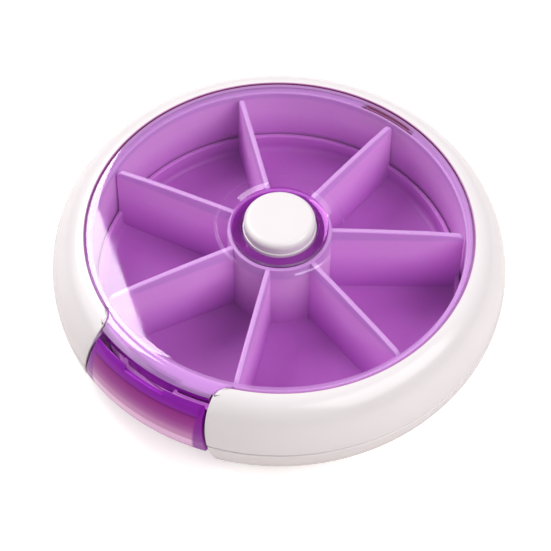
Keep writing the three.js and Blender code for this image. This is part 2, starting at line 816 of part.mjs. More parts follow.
// Index driver: the nut that the ribs turn, with pawls on its foot
const driverBottom = driverSeat + runningGap;
const pawlBottom = trayUnder - seatGap / 3;
const ratchetOuter = hubRadius - hubWall - seatGap;
const toothRoot = ratchetOuter - ratchetWall;
const toothTip = toothRoot - toothDepth;
const ratchetShelf = ratchetTop - pawlThickness - seatGap / 2;
const pawlTop = ratchetShelf - runningGap;

function indexDriver() {
  const grooveAngle = ribHalfAngle + grooveClearance / ribRadius;
  const sleeve = ring(driverBore, driverRadius, driverBottom, driverTop, smallSegments);
  const grooves = helices(ribRoot, ribRadius + runningGap, grooveAngle,
    driverBottom - overrun, driverTop + overrun);
  const pawls = [];
  for (let i = 0; i < pawlCount; i++) pawls.push(turned(pawl(), (2 * Math.PI * i) / pawlCount));
  return sleeve.subtract(grooves).add(joined(pawls));
}

// A pawl is a curved arm that springs outwards from its root to its tip.
const pawlSweep = THREE.MathUtils.degToRad(80);
const pawlRootSweep = THREE.MathUtils.degToRad(12);

function pawl() {
  const outer = toothTip - runningGap * 2 / 3;
  const inner = outer - pawlThickness;
  const outside = arc([0, 0], [outer, outer], 0, pawlSweep, pawlSteps);
  const inside = arc([0, 0], [inner, inner], pawlSweep, pawlRootSweep, pawlSteps);
  const rootInner = driverRadius - hubWall / 2;
  const root = arc([0, 0], [rootInner, rootInner], pawlRootSweep, 0, 2);
  return plate([...outside, ...inside, ...root], pawlBottom, pawlTop);
}

// Ratchet ring: inward saw teeth, and a shelf that keeps the driver down
const toothShares = [0, 1 / 2, 15 / 16];

function ratchetRing() {
  const bore = [];
  for (let i = 0; i < ratchetTeeth; i++) {
    for (const share of toothShares) {
      const angle = (2 * Math.PI * (i + share)) / ratchetTeeth;
      const radius = toothTip + toothDepth * share;
      bore.push([radius * Math.cos(angle), radius * Math.sin(angle)]);
    }
  }
  const teeth = ring(0, ratchetOuter, trayUnder, ratchetShelf, smallSegments)
    .subtract(plate(bore, trayUnder - overrun, ratchetShelf + overrun));
  const shelf = ring(driverRadius + runningGap, ratchetOuter, ratchetShelf, ratchetTop, smallSegments);
  return teeth.add(shelf);
}

// Return spring: one unbroken wire with closed ends, between the base and the stem's ceiling
function returnSpring() {
  const low = baseThickness + seatGap + springWire / 2;
  const high = stemCeiling - seatGap - springWire / 2;
  const stepsPerTurn = 8;
  const sides = 5;
  const steps = springTurns * stepsPerTurn;
  const centres = [];
  for (let i = 0; i <= steps; i++) {
    const angle = (2 * Math.PI * i) / stepsPerTurn;
    const height = low + (high - low) * i / steps;
    const x = springRadius * Math.cos(angle);
    const y = springRadius * Math.sin(angle);
    centres.push(new THREE.Vector3(x, y, height));
  }
  const positions = [];
  for (let i = 0; i <= steps; i++) {
    const angle = (2 * Math.PI * i) / stepsPerTurn;
    const outward = new THREE.Vector3(Math.cos(angle), Math.sin(angle), 0);
    const upward = new THREE.Vector3(0, 0, 1);
    for (let j = 0; j < sides; j++) {
      const round = (2 * Math.PI * j) / sides;
      const corner = centres[i].clone()
        .addScaledVector(outward, springWire / 2 * Math.cos(round))
        .addScaledVector(upward, springWire / 2 * Math.sin(round));
      positions.push(corner.x, corner.y, corner.z);
    }
  }
  const index = [];
  for (let i = 0; i < steps; i++) {
    for (let j = 0; j < sides; j++) {
      const a = i * sides + j;
      const b = i * sides + (j + 1) % sides;
      index.push(a, a + sides, b + sides, a, b + sides, b);
    }
  }
  const last = steps * sides;
  for (let j = 1; j < sides - 1; j++) {
    index.push(0, j, j + 1, last, last + j + 1, last + j);
  }
  const geometry = new THREE.BufferGeometry();
  geometry.setAttribute('position', new THREE.Float32BufferAttribute(positions, 3));
  geometry.setIndex(index);
  let leastGap = Infinity;
  for (let i = 0; i < centres.length; i++) {
    for (let j = i + stepsPerTurn / 2; j < centres.length; j++) {
      leastGap = Math.min(leastGap, centres[i].distanceTo(centres[j]) - springWire);
    }
  }
  console.log(`return spring: least gap to itself ${leastGap.toFixed(2)} mm`);
  return solidOf(geometry);
}

addPiece('upper_shell', upperShell(), whiteGloss);
addPiece('lower_shell', lowerShell(), whiteGloss);
addPiece('liner_ring', liner(), orchid);
addPiece('lid_window', lid(), lilacClear);
addPiece('pill_tray', tray(), orchid).rotation.z = trayRestAngle;
addPiece('outlet_door', door(), violetClear);
addPiece('hinge_pin_left', hingePin(-1), springSteel);
addPiece('hinge_pin_right', hingePin(1), springSteel);
addPiece('push_button', pushButton(), whiteGloss);
addPiece('cam_plunger', camPlunger(), greyAcetal);
addPiece('index_driver', indexDriver(), greyAcetal);
addPiece('ratchet_ring', ratchetRing(), greyAcetal);
addPiece('return_spring', returnSpring(), springSteel);
addPiece('detent_leaf', detentLeaf(), springSteel);

export default pill;
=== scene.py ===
# Rotating pill organizer: white ring body, purple tray under a clear lid, push button and
# outlet door. Lengths are in millimetres, and become metres where a piece is made.

import math

import bpy
from mathutils import Matrix, Vector


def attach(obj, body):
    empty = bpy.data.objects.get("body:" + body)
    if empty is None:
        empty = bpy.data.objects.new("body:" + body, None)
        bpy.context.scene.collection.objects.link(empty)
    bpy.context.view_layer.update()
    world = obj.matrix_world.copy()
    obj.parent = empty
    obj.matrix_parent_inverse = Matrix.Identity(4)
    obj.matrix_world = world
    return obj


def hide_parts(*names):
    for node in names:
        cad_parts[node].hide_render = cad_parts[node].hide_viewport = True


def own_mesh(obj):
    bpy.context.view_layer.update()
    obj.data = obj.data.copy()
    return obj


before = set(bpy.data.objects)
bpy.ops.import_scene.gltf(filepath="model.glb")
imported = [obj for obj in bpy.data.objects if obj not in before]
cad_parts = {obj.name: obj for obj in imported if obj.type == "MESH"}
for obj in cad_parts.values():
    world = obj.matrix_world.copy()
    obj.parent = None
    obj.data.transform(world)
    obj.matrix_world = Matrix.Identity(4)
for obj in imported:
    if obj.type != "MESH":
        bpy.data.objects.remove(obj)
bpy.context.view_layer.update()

MM = 0.001
QUARTER = math.pi / 2

# Sizes of the body, as the solids have them
BODY_RADIUS = 45.0
PARTING = 11.0
PARTING_GAP = 0.15
RIM_RADIUS = 38.0
RIM_HEIGHT = 22.0
FOOT_RADIUS = 35.8
FOOT_RING = 5
FOOT_RECESS = 0.5
SHELL_WALL = 1.6
BASE_THICKNESS = 1.6
LAP_OUTER = 44.2
LAP_INNER = 43.1
LAP_TOP = 13.0
POCKET_RADIUS = 39.9
LINER_INNER = 36.5
LINER_OUTER = 37.8
SHELL_INNER = 38.1
SILL_RADIUS = 38.9
SILL_TOP = 8.3
POST_BORE = 0.9
FLANGE_RADIUS = 39.6
FLANGE_TOP = 20.6
FLANGE_BOTTOM = 19.5
SEAT_GAP = 0.3
SNAP_COUNT = 8
SNAP_HALF = 3.0
SNAP_REACH = 0.5
SNAP_LOW, SNAP_HIGH = 11.6, 12.3

# Sizes of the lid
LID_SEAT = 20.9
LID_RADIUS = 37.7
LID_RISE = 1.5
LID_THICKNESS = 1.1
COLLAR_BORE = 7.5
COLLAR_OUTER = 9.1
COLLAR_DEPTH = 4.4
COLLAR_STEP = 0.5
TONGUE_RADIUS = 40.9
HOOK_DEPTH = 3
HOOK_LOW = LID_SEAT - HOOK_DEPTH
HOOK_HALF = 5.3
HOOK_NOTCH_HALF = 6.2
FRONT_HOOK_INNER, FRONT_HOOK_OUTER = 39.2, 40.8
REAR_HOOK_THICKNESS = 0.6
BARB_REACH = 0.9
BARB_HEIGHT = 0.9

# Sizes of the tray and button
TRAY_RADIUS = 36.2
TRAY_FLOOR = 4.5
TRAY_UNDER = 3.1
TRAY_LIP = 8.2
HUB_RADIUS = 10.2
HUB_INNER = 9.4
COMPARTMENTS = 7
TRAY_REST = math.radians(-2.0)
VANE_HEADROOM = 0.4
BUTTON_RADIUS = 7.2
BUTTON_TOP = 25.6

# Sizes of the door and of its gap
GAP_HALF = 13.2
GAP_HALF_HEIGHT = 20.4
GAP_FLARE = 1 / 6
GAP_BACK = -31.4
GAP_FRONT = -46.0
CORNER_RADIUS = 3.2
CORNER_X = GAP_HALF + CORNER_RADIUS
CORNER_Y = -math.sqrt((RIM_RADIUS + CORNER_RADIUS) ** 2 - CORNER_X ** 2)
END_WALL = 1.5
HINGE_DEPTH = 40.4
HINGE_HEIGHT = 11.0
HINGE_BORE = 0.95
DOOR_BOTTOM = 8.9
DOOR_WALL = 1.5
DOOR_GAP = 0.6
DOOR_SIDE_WALL = 1.4
DOOR_INNER_RADIUS = 41.95
DOOR_SCOOP_WALL = 1.3
DOOR_SCOOP_TOP = DOOR_BOTTOM + DOOR_SCOOP_WALL

# How far a cutting piece reaches: just past its cut, above the rim, or past the whole body
OVERRUN = 1.0
ABOVE = RIM_HEIGHT + OVERRUN
FAR = 50
FRONT, REAR = (-FAR, 0), (0, FAR)

# The blocks that the door is cut with: their width, and how far they reach up and inwards
DOOR_ACROSS = (-20, 20)
DOOR_ROOM = 30

# Facets round a full turn, and the turn past which an outline's corner counts as sharp
ROUND = 120
SMALL_ROUND = 96
TRAY_ROUND = 140
ROD_ROUND = 24
SHARP_TURN = math.radians(38)

# Roundings of edges, and the distance within which corners are merged
EDGE = 0.25
FINE_EDGE = 0.15
LID_EDGE = 0.12
BUTTON_EDGE = 0.08
MERGE = 0.002


# Hand tools

def clear_selection():
    bpy.ops.object.select_all(action="DESELECT")


def work_on(piece):
    clear_selection()
    bpy.context.view_layer.objects.active = piece
    piece.select_set(True)


def edit_all():
    bpy.ops.object.mode_set(mode="EDIT")
    bpy.ops.mesh.select_all(action="SELECT")


def grow_ring(name, outline, around=ROUND):
    """A solid of revolution: a circle is extruded ring by ring along a closed outline of
    (radius, height) corners. A corner on the axis closes the ring to a pole, and the ring
    that it started from is then filled."""
    clear_selection()
    radius, height = outline[0]
    bpy.ops.mesh.primitive_circle_add(vertices=around, radius=radius * MM,
                                      location=(0, 0, height * MM))
    piece = bpy.context.active_object
    piece.name = name
    bpy.ops.object.transform_apply(location=True)
    bpy.ops.object.mode_set(mode="EDIT")
    bpy.ops.mesh.select_mode(type="EDGE")
    bpy.ops.mesh.select_all(action="SELECT")
    closed = all(r > 0 for r, _ in outline)
    followers = outline[1:] + outline[:1] if closed else outline[1:]
    for next_radius, next_height in followers:
        rise = (0, 0, (next_height - height) * MM)
        bpy.ops.mesh.extrude_edges_move(TRANSFORM_OT_translate={"value": rise})
        if next_radius == 0:
            bpy.ops.mesh.merge(type="CENTER")
            break
        share = next_radius / radius
        bpy.ops.transform.resize(value=(share, share, 1),
                                 center_override=(0, 0, next_height * MM))
        radius, height = next_radius, next_height
    if not closed:
        bpy.ops.mesh.select_all(action="DESELECT")
        bpy.ops.mesh.select_non_manifold()
        bpy.ops.mesh.edge_face_add()
    close_up(piece)
    return piece


def close_up(piece):
    """Merges doubles, points the faces outwards and leaves edit mode."""
    bpy.ops.mesh.select_all(action="SELECT")
    bpy.ops.mesh.remove_doubles(threshold=MERGE * MM)
    bpy.ops.mesh.normals_make_consistent(inside=False)
    bpy.ops.object.mode_set(mode="OBJECT")
    if held_room(piece) < 0:
        edit_all()
        bpy.ops.mesh.flip_normals()
        bpy.ops.object.mode_set(mode="OBJECT")


def held_room(piece):
    """The room inside a closed mesh, which is negative when its faces point inwards."""
    faces = piece.data.polygons
    return sum(face.center.dot(face.normal) * face.area for face in faces) / 3


def raise_outline(name, corners, push):
    """A prism: a point is drawn along the corners, filled, and pushed along a vector."""
    clear_selection()
    bpy.ops.mesh.primitive_plane_add(size=MM, location=(0, 0, 0))
    piece = bpy.context.active_object
    piece.name = name
    bpy.ops.object.mode_set(mode="EDIT")
    bpy.ops.mesh.select_mode(type="VERT")
    bpy.ops.mesh.select_all(action="SELECT")
    bpy.ops.mesh.merge(type="CENTER")
    place = Vector(corners[0])
    bpy.ops.transform.translate(value=place * MM)
    for corner in corners[1:]:
        step = (Vector(corner) - place) * MM
        bpy.ops.mesh.extrude_region_move(TRANSFORM_OT_translate={"value": step})
        place = Vector(corner)
    bpy.ops.mesh.select_all(action="SELECT")
    bpy.ops.mesh.edge_face_add()
    bpy.ops.mesh.select_all(action="SELECT")
    bpy.ops.mesh.extrude_region_move(TRANSFORM_OT_translate={"value": Vector(push) * MM})
    close_up(piece)
    return piece


def ease(outline, radius, closed=True):
    """Rounds the sharp corners of an outline, but uses up less than half of a side."""
    steps, most = 4, 0.45
    eased = []
    for i, corner in enumerate(outline):
        here = Vector(corner)
        back = Vector(outline[i - 1]) - here
        ahead = Vector(outline[(i + 1) % len(outline)]) - here
        turned_by = math.pi - back.angle(ahead)
        at_end = not closed and i in (0, len(outline) - 1)
        if at_end or turned_by < SHARP_TURN:
            eased.append(corner)
            continue
        reach = min(radius * math.tan(turned_by / 2), most * back.length, most * ahead.length)
        start, end = here + back.normalized() * reach, here + ahead.normalized() * reach
        for j in range(steps + 1):
            share = j / steps
            point = (1 - share) ** 2 * start + 2 * share * (1 - share) * here + share ** 2 * end
            eased.append(tuple(point))
    return eased


def plan_prism(name, corners, low, high):
    return raise_outline(name, [(x, y, low) for x, y in corners], (0, 0, high - low))


def block(name, xs, ys, zs):
    """A cube primitive, stretched between two corners."""
    clear_selection()
    bpy.ops.mesh.primitive_cube_add(size=1)
    piece = bpy.context.active_object
    piece.name = name
    middle = [(a + b) / 2 * MM for a, b in (xs, ys, zs)]
    span = [(b - a) * MM for a, b in (xs, ys, zs)]
    edit_all()
    bpy.ops.transform.resize(value=span)
    bpy.ops.transform.translate(value=middle)
    bpy.ops.object.mode_set(mode="OBJECT")
    return piece


def rod(name, radius, start, end):
    """A cylinder primitive between two points."""
    clear_selection()
    start, end = Vector(start) * MM, Vector(end) * MM
    along = end - start
    bpy.ops.mesh.primitive_cylinder_add(vertices=ROD_ROUND, radius=radius * MM,
                                        depth=along.length)
    piece = bpy.context.active_object
    piece.name = name
    leaning = along.to_track_quat("Z", "Y").to_matrix().to_4x4()
    piece.matrix_world = Matrix.Translation((start + end) / 2) @ leaning
    bpy.ops.object.transform_apply(location=True, rotation=True)
    return piece


def turn(piece, angle):
    """Turns a piece about the tray's axis and leaves its object at the origin."""
    work_on(piece)
    piece.rotation_euler = (0, 0, angle)
    bpy.ops.object.transform_apply(rotation=True)
    return piece


def copy_of(piece, name):
    work_on(piece)
    bpy.ops.object.duplicate()
    twin = bpy.context.active_object
    twin.name = name
    return twin


def mirrored(piece, name):
    twin = copy_of(piece, name)
    edit_all()
    bpy.ops.transform.mirror(constraint_axis=(True, False, False), center_override=(0, 0, 0))
    bpy.ops.mesh.normals_make_consistent(inside=False)
    bpy.ops.object.mode_set(mode="OBJECT")
    return twin


def combine(piece, tool, operation):
    """Boolean with a tool piece, which is used up."""
    work_on(piece)
    step = piece.modifiers.new("combine", "BOOLEAN")
    step.operation = operation
    step.solver = "EXACT"
    step.object = tool
    bpy.ops.object.modifier_apply(modifier=step.name)
    bpy.data.objects.remove(tool)
    edit_all()
    bpy.ops.mesh.dissolve_degenerate(threshold=MERGE * MM)
    bpy.ops.object.mode_set(mode="OBJECT")
    return piece


def cut(piece, tool):
    return combine(piece, tool, "DIFFERENCE")


def add(piece, tool):
    return combine(piece, tool, "UNION")


def keep(piece, tool):
    return combine(piece, tool, "INTERSECT")


def select_sharp(piece, angle, where):
    """Selects the sharp edges whose ends both lie where they should. Starts and ends in edit
    mode."""
    bpy.ops.mesh.select_mode(type="EDGE")
    bpy.ops.mesh.select_all(action="DESELECT")
    bpy.ops.mesh.edges_select_sharp(sharpness=math.radians(angle))
    if where is None:
        return
    bpy.ops.object.mode_set(mode="OBJECT")
    corners = piece.data.vertices
    chosen = [edge.select and all(where(corners[i].co / MM) for i in edge.vertices)
              for edge in piece.data.edges]
    bpy.ops.object.mode_set(mode="EDIT")
    bpy.ops.mesh.select_all(action="DESELECT")
    bpy.ops.object.mode_set(mode="OBJECT")
    for edge, is_chosen in zip(piece.data.edges, chosen):
        edge.select = is_chosen
    bpy.ops.object.mode_set(mode="EDIT")


def soften(piece, width, angle=42, where=None):
    """Rounds the edges that a cut has left sharp, once their crowded corners are merged."""
    work_on(piece)
    bpy.ops.object.mode_set(mode="EDIT")
    select_sharp(piece, angle, where)
    bpy.ops.mesh.remove_doubles(threshold=width / 2 * MM)
    select_sharp(piece, angle, where)
    bpy.ops.mesh.bevel(offset=width * MM, offset_type="OFFSET", segments=3, clamp_overlap=False)
    close_up(piece)
    return piece


def smooth(piece, angle=32):
    work_on(piece)
    bpy.ops.object.shade_smooth_by_angle(angle=math.radians(angle))
    return piece


# Shapes of the body

def arc(centre, semi, start, end, steps):
    """Points along an ellipse, from one angle to another."""
    points = []
    for i in range(steps + 1):
        angle = start + (end - start) * i / steps
        points.append((centre[0] + semi[0] * math.cos(angle),
                       centre[1] + semi[1] * math.sin(angle)))
    return points


UPPER_CENTRE = (RIM_RADIUS, PARTING)
UPPER_SEMI = (BODY_RADIUS - RIM_RADIUS, RIM_HEIGHT - PARTING)
LOWER_CENTRE = (FOOT_RADIUS, PARTING)
LOWER_SEMI = (BODY_RADIUS - FOOT_RADIUS, PARTING)


def upper_arc(inset, start, end, steps):
    return arc(UPPER_CENTRE, (UPPER_SEMI[0] - inset, UPPER_SEMI[1] - inset), start, end, steps)


def lower_arc(inset, start, end, steps):
    return arc(LOWER_CENTRE, (LOWER_SEMI[0] - inset, LOWER_SEMI[1] - inset), start, end, steps)


def upper_at_radius(radius, inset=0.0):
    return math.acos((radius - UPPER_CENTRE[0]) / (UPPER_SEMI[0] - inset))


def upper_at_height(height, inset=0.0):
    return math.asin((height - PARTING) / (UPPER_SEMI[1] - inset))


def lower_at_radius(radius, inset=0.0):
    return -math.acos((radius - LOWER_CENTRE[0]) / (LOWER_SEMI[0] - inset))


def lower_at_height(height, inset=0.0):
    return math.asin((height - PARTING) / (LOWER_SEMI[1] - inset))


def lid_under(radius):
    return LID_SEAT + LID_RISE * (1 - (radius / LID_RADIUS) ** 2)


COLLAR_TOP = lid_under(HUB_RADIUS) + LID_THICKNESS - COLLAR_STEP


def gap_half(height):
    return GAP_HALF + (GAP_HALF_HEIGHT - height) * GAP_FLARE


def gap_wedge(inset, low=-OVERRUN, high=ABOVE):
    """The door gap: a wedge that is wider at its foot."""
    w_low, w_high = gap_half(low) - inset, gap_half(high) - inset
    corners = [(-w_low, GAP_BACK, low), (w_low, GAP_BACK, low),
               (w_high, GAP_BACK, high), (-w_high, GAP_BACK, high)]
    return raise_outline("gap_wedge", corners, (0, GAP_FRONT - GAP_BACK, 0))


def gap_corners(radius):
    """The two filleted corners where the gap's faces run into the rim's bore."""
    touch = math.atan2(-CORNER_Y, -CORNER_X)
    points = arc((CORNER_X, CORNER_Y), (radius, radius), math.pi, touch, steps=16)
    inner = points[-1]
    points += [(0.0, inner[1]), (0.0, CORNER_Y)]
    right = plan_prism("gap_corner", points, FLANGE_TOP, ABOVE)
    return right, mirrored(right, "gap_corner_left")


def on_gap_face(place):
    """True on the outer edges of the gap's two faces and of its filleted corners."""
    gap_start, in_bore = -25, RIM_RADIUS - 0.1
    on_face, on_fillet, by_hinge = 0.03, 0.05, 0.3
    if place.y > gap_start or math.hypot(place.x, place.y) < in_bore:
        return False
    near_face = abs(abs(place.x) - gap_half(place.z)) < on_face
    fillet = math.hypot(abs(place.x) - CORNER_X, place.y - CORNER_Y)
    near_fillet = abs(fillet - CORNER_RADIUS) < on_fillet and place.z > FLANGE_TOP
    from_hinge = math.hypot(place.y + HINGE_DEPTH, place.z - HINGE_HEIGHT)
    return (near_face or near_fillet) and not from_hinge < HINGE_BORE + by_hinge


def ring_outline(inner, outer, low, high):
    return [(inner, low), (outer, low), (outer, high), (inner, high)]


def ring_steps(piece, offset):
    """Joins copies of a block at even steps round the ring, but not beside the door."""
    beside_door = QUARTER / 3
    whole = None
    for i in range(SNAP_COUNT):
        angle = 2 * math.pi * (i + offset) / SNAP_COUNT
        if math.sin(angle) < -math.cos(beside_door):
            continue
        twin = turn(copy_of(piece, piece.name + "_copy"), angle)
        whole = twin if whole is None else add(whole, twin)
    bpy.data.objects.remove(piece)
    return whole


def hinge_hole():
    reach = gap_half(HINGE_HEIGHT) + END_WALL
    left, right = (-reach, -HINGE_DEPTH, HINGE_HEIGHT), (reach, -HINGE_DEPTH, HINGE_HEIGHT)
    return rod("hinge_hole", HINGE_BORE, left, right)


def upper_filled():
    """The room that the upper shell goes round. Its end walls and ribs are cut from this."""
    half_wall = SHELL_WALL / 2
    outline = [(SHELL_INNER, PARTING + PARTING_GAP)]
    outline += upper_arc(half_wall, upper_at_height(PARTING + PARTING_GAP, half_wall),
                         upper_at_radius(POCKET_RADIUS, half_wall), steps=12)
    outline += [(POCKET_RADIUS, FLANGE_BOTTOM - SEAT_GAP), (SHELL_INNER, FLANGE_BOTTOM - SEAT_GAP)]
    return grow_ring("ring_filled", outline)


def make_upper_shell():
    start = math.asin(PARTING_GAP / UPPER_SEMI[1])
    outline = upper_arc(0, start, QUARTER, steps=30)
    outline += [(RIM_RADIUS, LID_SEAT), (POCKET_RADIUS, LID_SEAT)]
    outline += upper_arc(SHELL_WALL, upper_at_radius(POCKET_RADIUS, SHELL_WALL),
                         upper_at_height(LAP_TOP + SEAT_GAP, SHELL_WALL), steps=10)
    outline += [(LAP_OUTER, LAP_TOP + SEAT_GAP), (LAP_OUTER, PARTING + PARTING_GAP)]
    shell = grow_ring("white_ring", ease(outline, EDGE))
    walls = keep(upper_filled(), gap_wedge(-END_WALL))
    lap_room = ring_outline(LAP_INNER - SEAT_GAP, LAP_OUTER + SEAT_GAP, PARTING,
                            LAP_TOP + SEAT_GAP)
    add(shell, cut(walls, grow_ring("lap_room", lap_room)))
    cut(shell, gap_wedge(0.0))
    for corner in gap_corners(CORNER_RADIUS):
        cut(shell, corner)
    rib = block("rib", (SHELL_INNER - OVERRUN, BODY_RADIUS), (-SHELL_WALL / 2, SHELL_WALL / 2),
                (LAP_TOP + SEAT_GAP, RIM_HEIGHT))
    add(shell, keep(ring_steps(rib, offset=0.5), upper_filled()))
    barb = block("snap_barb", (LAP_OUTER - SNAP_REACH, LAP_OUTER + SHELL_WALL / 4),
                 (-SNAP_HALF, SNAP_HALF), (SNAP_LOW, SNAP_HIGH))
    add(shell, ring_steps(barb, offset=0))
    cut(shell, hinge_hole())
    soften(shell, EDGE, where=on_gap_face)
    return smooth(shell)


def base_floor_outline(edge):
    """The top of the base's floor, from its edge to the bore in the middle: the ring that the
    tray runs on, the driver's seat, the spigot that centres it, and the boss of the post."""
    bearing_outer, bearing_inner, bearing_top = 12.1, 10.9, 2.8
    seat_outer, seat_top = 6.7, 2.3
    spigot_outer, spigot_inner, spigot_top = 4.9, 4.25, 3.4
    boss_foot, boss_radius, boss_shoulder = 2.85, 2.8, 8.3
    boss_crown, boss_top = 2.1, 9.0
    return [(edge, BASE_THICKNESS), (bearing_outer, BASE_THICKNESS),
            (bearing_outer, bearing_top), (bearing_inner, bearing_top),
            (bearing_inner, BASE_THICKNESS), (seat_outer, BASE_THICKNESS),
            (seat_outer, seat_top), (spigot_outer, seat_top), (spigot_outer, spigot_top),
            (spigot_inner, spigot_top), (spigot_inner, BASE_THICKNESS),
            (boss_foot, BASE_THICKNESS), (boss_radius, boss_shoulder),
            (boss_crown, boss_top), (POST_BORE, boss_top)]


def make_lower_shell():
    start = -math.asin(PARTING_GAP / LOWER_SEMI[1])
    floor_edge = SHELL_INNER + SEAT_GAP / 3
    foot_inner = FOOT_RADIUS - FOOT_RING
    outline = [(POST_BORE, FOOT_RECESS), (foot_inner - FOOT_RECESS, FOOT_RECESS),
               (foot_inner, 0.0)]
    outline += lower_arc(0, -QUARTER, start, steps=26)
    outline += [(LAP_OUTER - SEAT_GAP, PARTING - PARTING_GAP), (LAP_OUTER - SEAT_GAP, LAP_TOP),
                (LAP_INNER, LAP_TOP)]
    outline += lower_arc(SHELL_WALL, lower_at_radius(LAP_INNER, SHELL_WALL),
                         lower_at_radius(floor_edge, SHELL_WALL), steps=12)
    outline += base_floor_outline(floor_edge)
    shell = grow_ring("white_base", ease(outline, EDGE))
    half_wall = SHELL_WALL / 2
    outline = lower_arc(half_wall, lower_at_radius(SHELL_INNER, half_wall),
                        lower_at_height(PARTING - PARTING_GAP, half_wall), steps=12)
    outline += [(SHELL_INNER, PARTING - PARTING_GAP)]
    add(shell, keep(grow_ring("base_end_walls", outline), gap_wedge(-END_WALL)))
    open_sill(shell)
    window = block("snap_window", (LAP_INNER - OVERRUN, LAP_OUTER),
                   (-SNAP_HALF - SEAT_GAP, SNAP_HALF + SEAT_GAP),
                   (SNAP_LOW - SEAT_GAP, SNAP_HIGH + SEAT_GAP))
    cut(shell, ring_steps(window, offset=0))
    post_half, post_top = 1.4, 17.4
    across = (-post_half, post_half)
    add(shell, block("post", across, across, (BASE_THICKNESS / 2, post_top)))
    peg_radius, peg_side, peg_depth, peg_low, peg_top = 0.8, 7.0, 27.0, 1.0, 2.5
    for x in (-peg_side, peg_side):
        peg = rod("leaf_peg", peg_radius, (x, peg_depth, peg_low), (x, peg_depth, peg_top))
        add(shell, turn(peg, TRAY_REST))
    cut(shell, hinge_hole())
    soften(shell, EDGE, where=on_gap_face)
    return smooth(shell)


def open_sill(shell):
    """Opens the base where the door sits, and puts a sill under it. The cut spares a core that
    ends below the sill's top, so the sill stands on the floor."""
    core_inner, core_low = 5, -2
    wedge = gap_wedge(0.0)
    core = ring_outline(core_inner, SILL_RADIUS, core_low, SILL_TOP - SEAT_GAP)
    cut(wedge, grow_ring("sill_core", core))
    cut(shell, wedge)
    sill = ring_outline(SHELL_INNER, SILL_RADIUS, BASE_THICKNESS - SEAT_GAP, SILL_TOP)
    add(shell, keep(grow_ring("sill", sill), gap_wedge(-END_WALL / 2, 0.0, PARTING)))


def make_liner():
    outline = [(LINER_INNER, BASE_THICKNESS + SEAT_GAP), (LINER_OUTER, BASE_THICKNESS + SEAT_GAP),
               (LINER_OUTER, FLANGE_BOTTOM), (FLANGE_RADIUS, FLANGE_BOTTOM),
               (FLANGE_RADIUS, FLANGE_TOP), (LINER_INNER, FLANGE_TOP)]
    liner = grow_ring("tray_wall", ease(outline, EDGE))
    apron = tongue_outline(SEAT_GAP + LID_THICKNESS, LID_THICKNESS, TONGUE_RADIUS - SEAT_GAP)
    add(liner, keep(grow_ring("apron", apron), gap_wedge(SEAT_GAP)))
    window_half, window_back, window_low, window_top = 11.4, -19, 8.4, 18.4
    cut(liner, block("outlet_window", (-window_half, window_half), (GAP_FRONT, window_back),
                     (window_low, window_top)))
    skin_left = 0.45
    rear = ring_outline(LINER_INNER + skin_left, LID_RADIUS + SEAT_GAP,
                        FLANGE_BOTTOM - HOOK_DEPTH, ABOVE)
    front = ring_outline(FRONT_HOOK_INNER - SEAT_GAP, -GAP_FRONT,
                         FLANGE_BOTTOM - HOOK_DEPTH, ABOVE)
    cut(liner, ring_part("rear_notch", rear, HOOK_NOTCH_HALF, REAR))
    cut(liner, ring_part("front_notch", front, HOOK_NOTCH_HALF, FRONT))
    soften(liner, FINE_EDGE)
    return smooth(liner)


def ring_part(name, outline, half_width, half_ring):
    """A part of a ring, cut out by its width on the front or the rear half."""
    band = grow_ring(name, outline)
    return keep(band, block(name + "_width", (-half_width, half_width), half_ring, (0, FAR)))


def tongue_outline(drop, thickness, edge):
    """A sheet that follows the body's outline across the gap: the lid's tongue, or lower down
    the liner's apron."""
    root_inset = 0.65
    top = [(r, z - drop) for r, z in upper_arc(0, upper_at_radius(edge), QUARTER, steps=12)]
    under = [(r, z - thickness) for r, z in reversed(top)]
    root = LINER_INNER + root_inset
    root_top = RIM_HEIGHT - drop
    return [(root, root_top - thickness)] + under + top + [(root, root_top)]


def lid_outline():
    """The domed plate, with a raised boss round the collar that the button slides in."""
    boss, boss_rise, groove, steps = 12.3, 0.35, 0.5, 16
    collar_foot = COLLAR_TOP - COLLAR_DEPTH
    radii = [boss + (LID_RADIUS - boss) * i / steps for i in range(steps + 1)]
    foot = boss + boss_rise
    crest = HUB_RADIUS + SEAT_GAP
    outline = [(COLLAR_BORE, collar_foot), (COLLAR_OUTER, collar_foot),
               (COLLAR_OUTER, lid_under(COLLAR_OUTER))]
    outline += [(r, lid_under(r)) for r in radii]
    outline += [(r, lid_under(r) + LID_THICKNESS) for r in reversed(radii[1:])]
    outline += [(foot, lid_under(foot) + LID_THICKNESS),
                (boss, lid_under(boss) + LID_THICKNESS + boss_rise),
                (crest, lid_under(crest) + LID_THICKNESS + boss_rise),
                (COLLAR_OUTER + groove, COLLAR_TOP + EDGE), (COLLAR_OUTER, COLLAR_TOP),
                (COLLAR_BORE + EDGE, COLLAR_TOP), (COLLAR_BORE, COLLAR_TOP - EDGE)]
    return ease(outline, FINE_EDGE)


def make_lid():
    lid = grow_ring("clear_lid", lid_outline())
    tongue = grow_ring("tongue", tongue_outline(0, LID_THICKNESS, TONGUE_RADIUS))
    zone = gap_wedge(SEAT_GAP)
    for corner in gap_corners(CORNER_RADIUS + SEAT_GAP):
        add(zone, corner)
    add(lid, keep(tongue, zone))
    front_top, rear_top = 20.6, 21.4
    rear_inner = LID_RADIUS - REAR_HOOK_THICKNESS
    front = hook("front", (FRONT_HOOK_INNER, FRONT_HOOK_OUTER),
                 (FRONT_HOOK_INNER - BARB_REACH, FRONT_HOOK_OUTER), front_top, FRONT)
    rear = hook("rear", (rear_inner, LID_RADIUS), (rear_inner, LID_RADIUS + BARB_REACH),
                rear_top, REAR)
    add(lid, front)
    add(lid, rear)
    soften(lid, LID_EDGE)
    return smooth(lid)


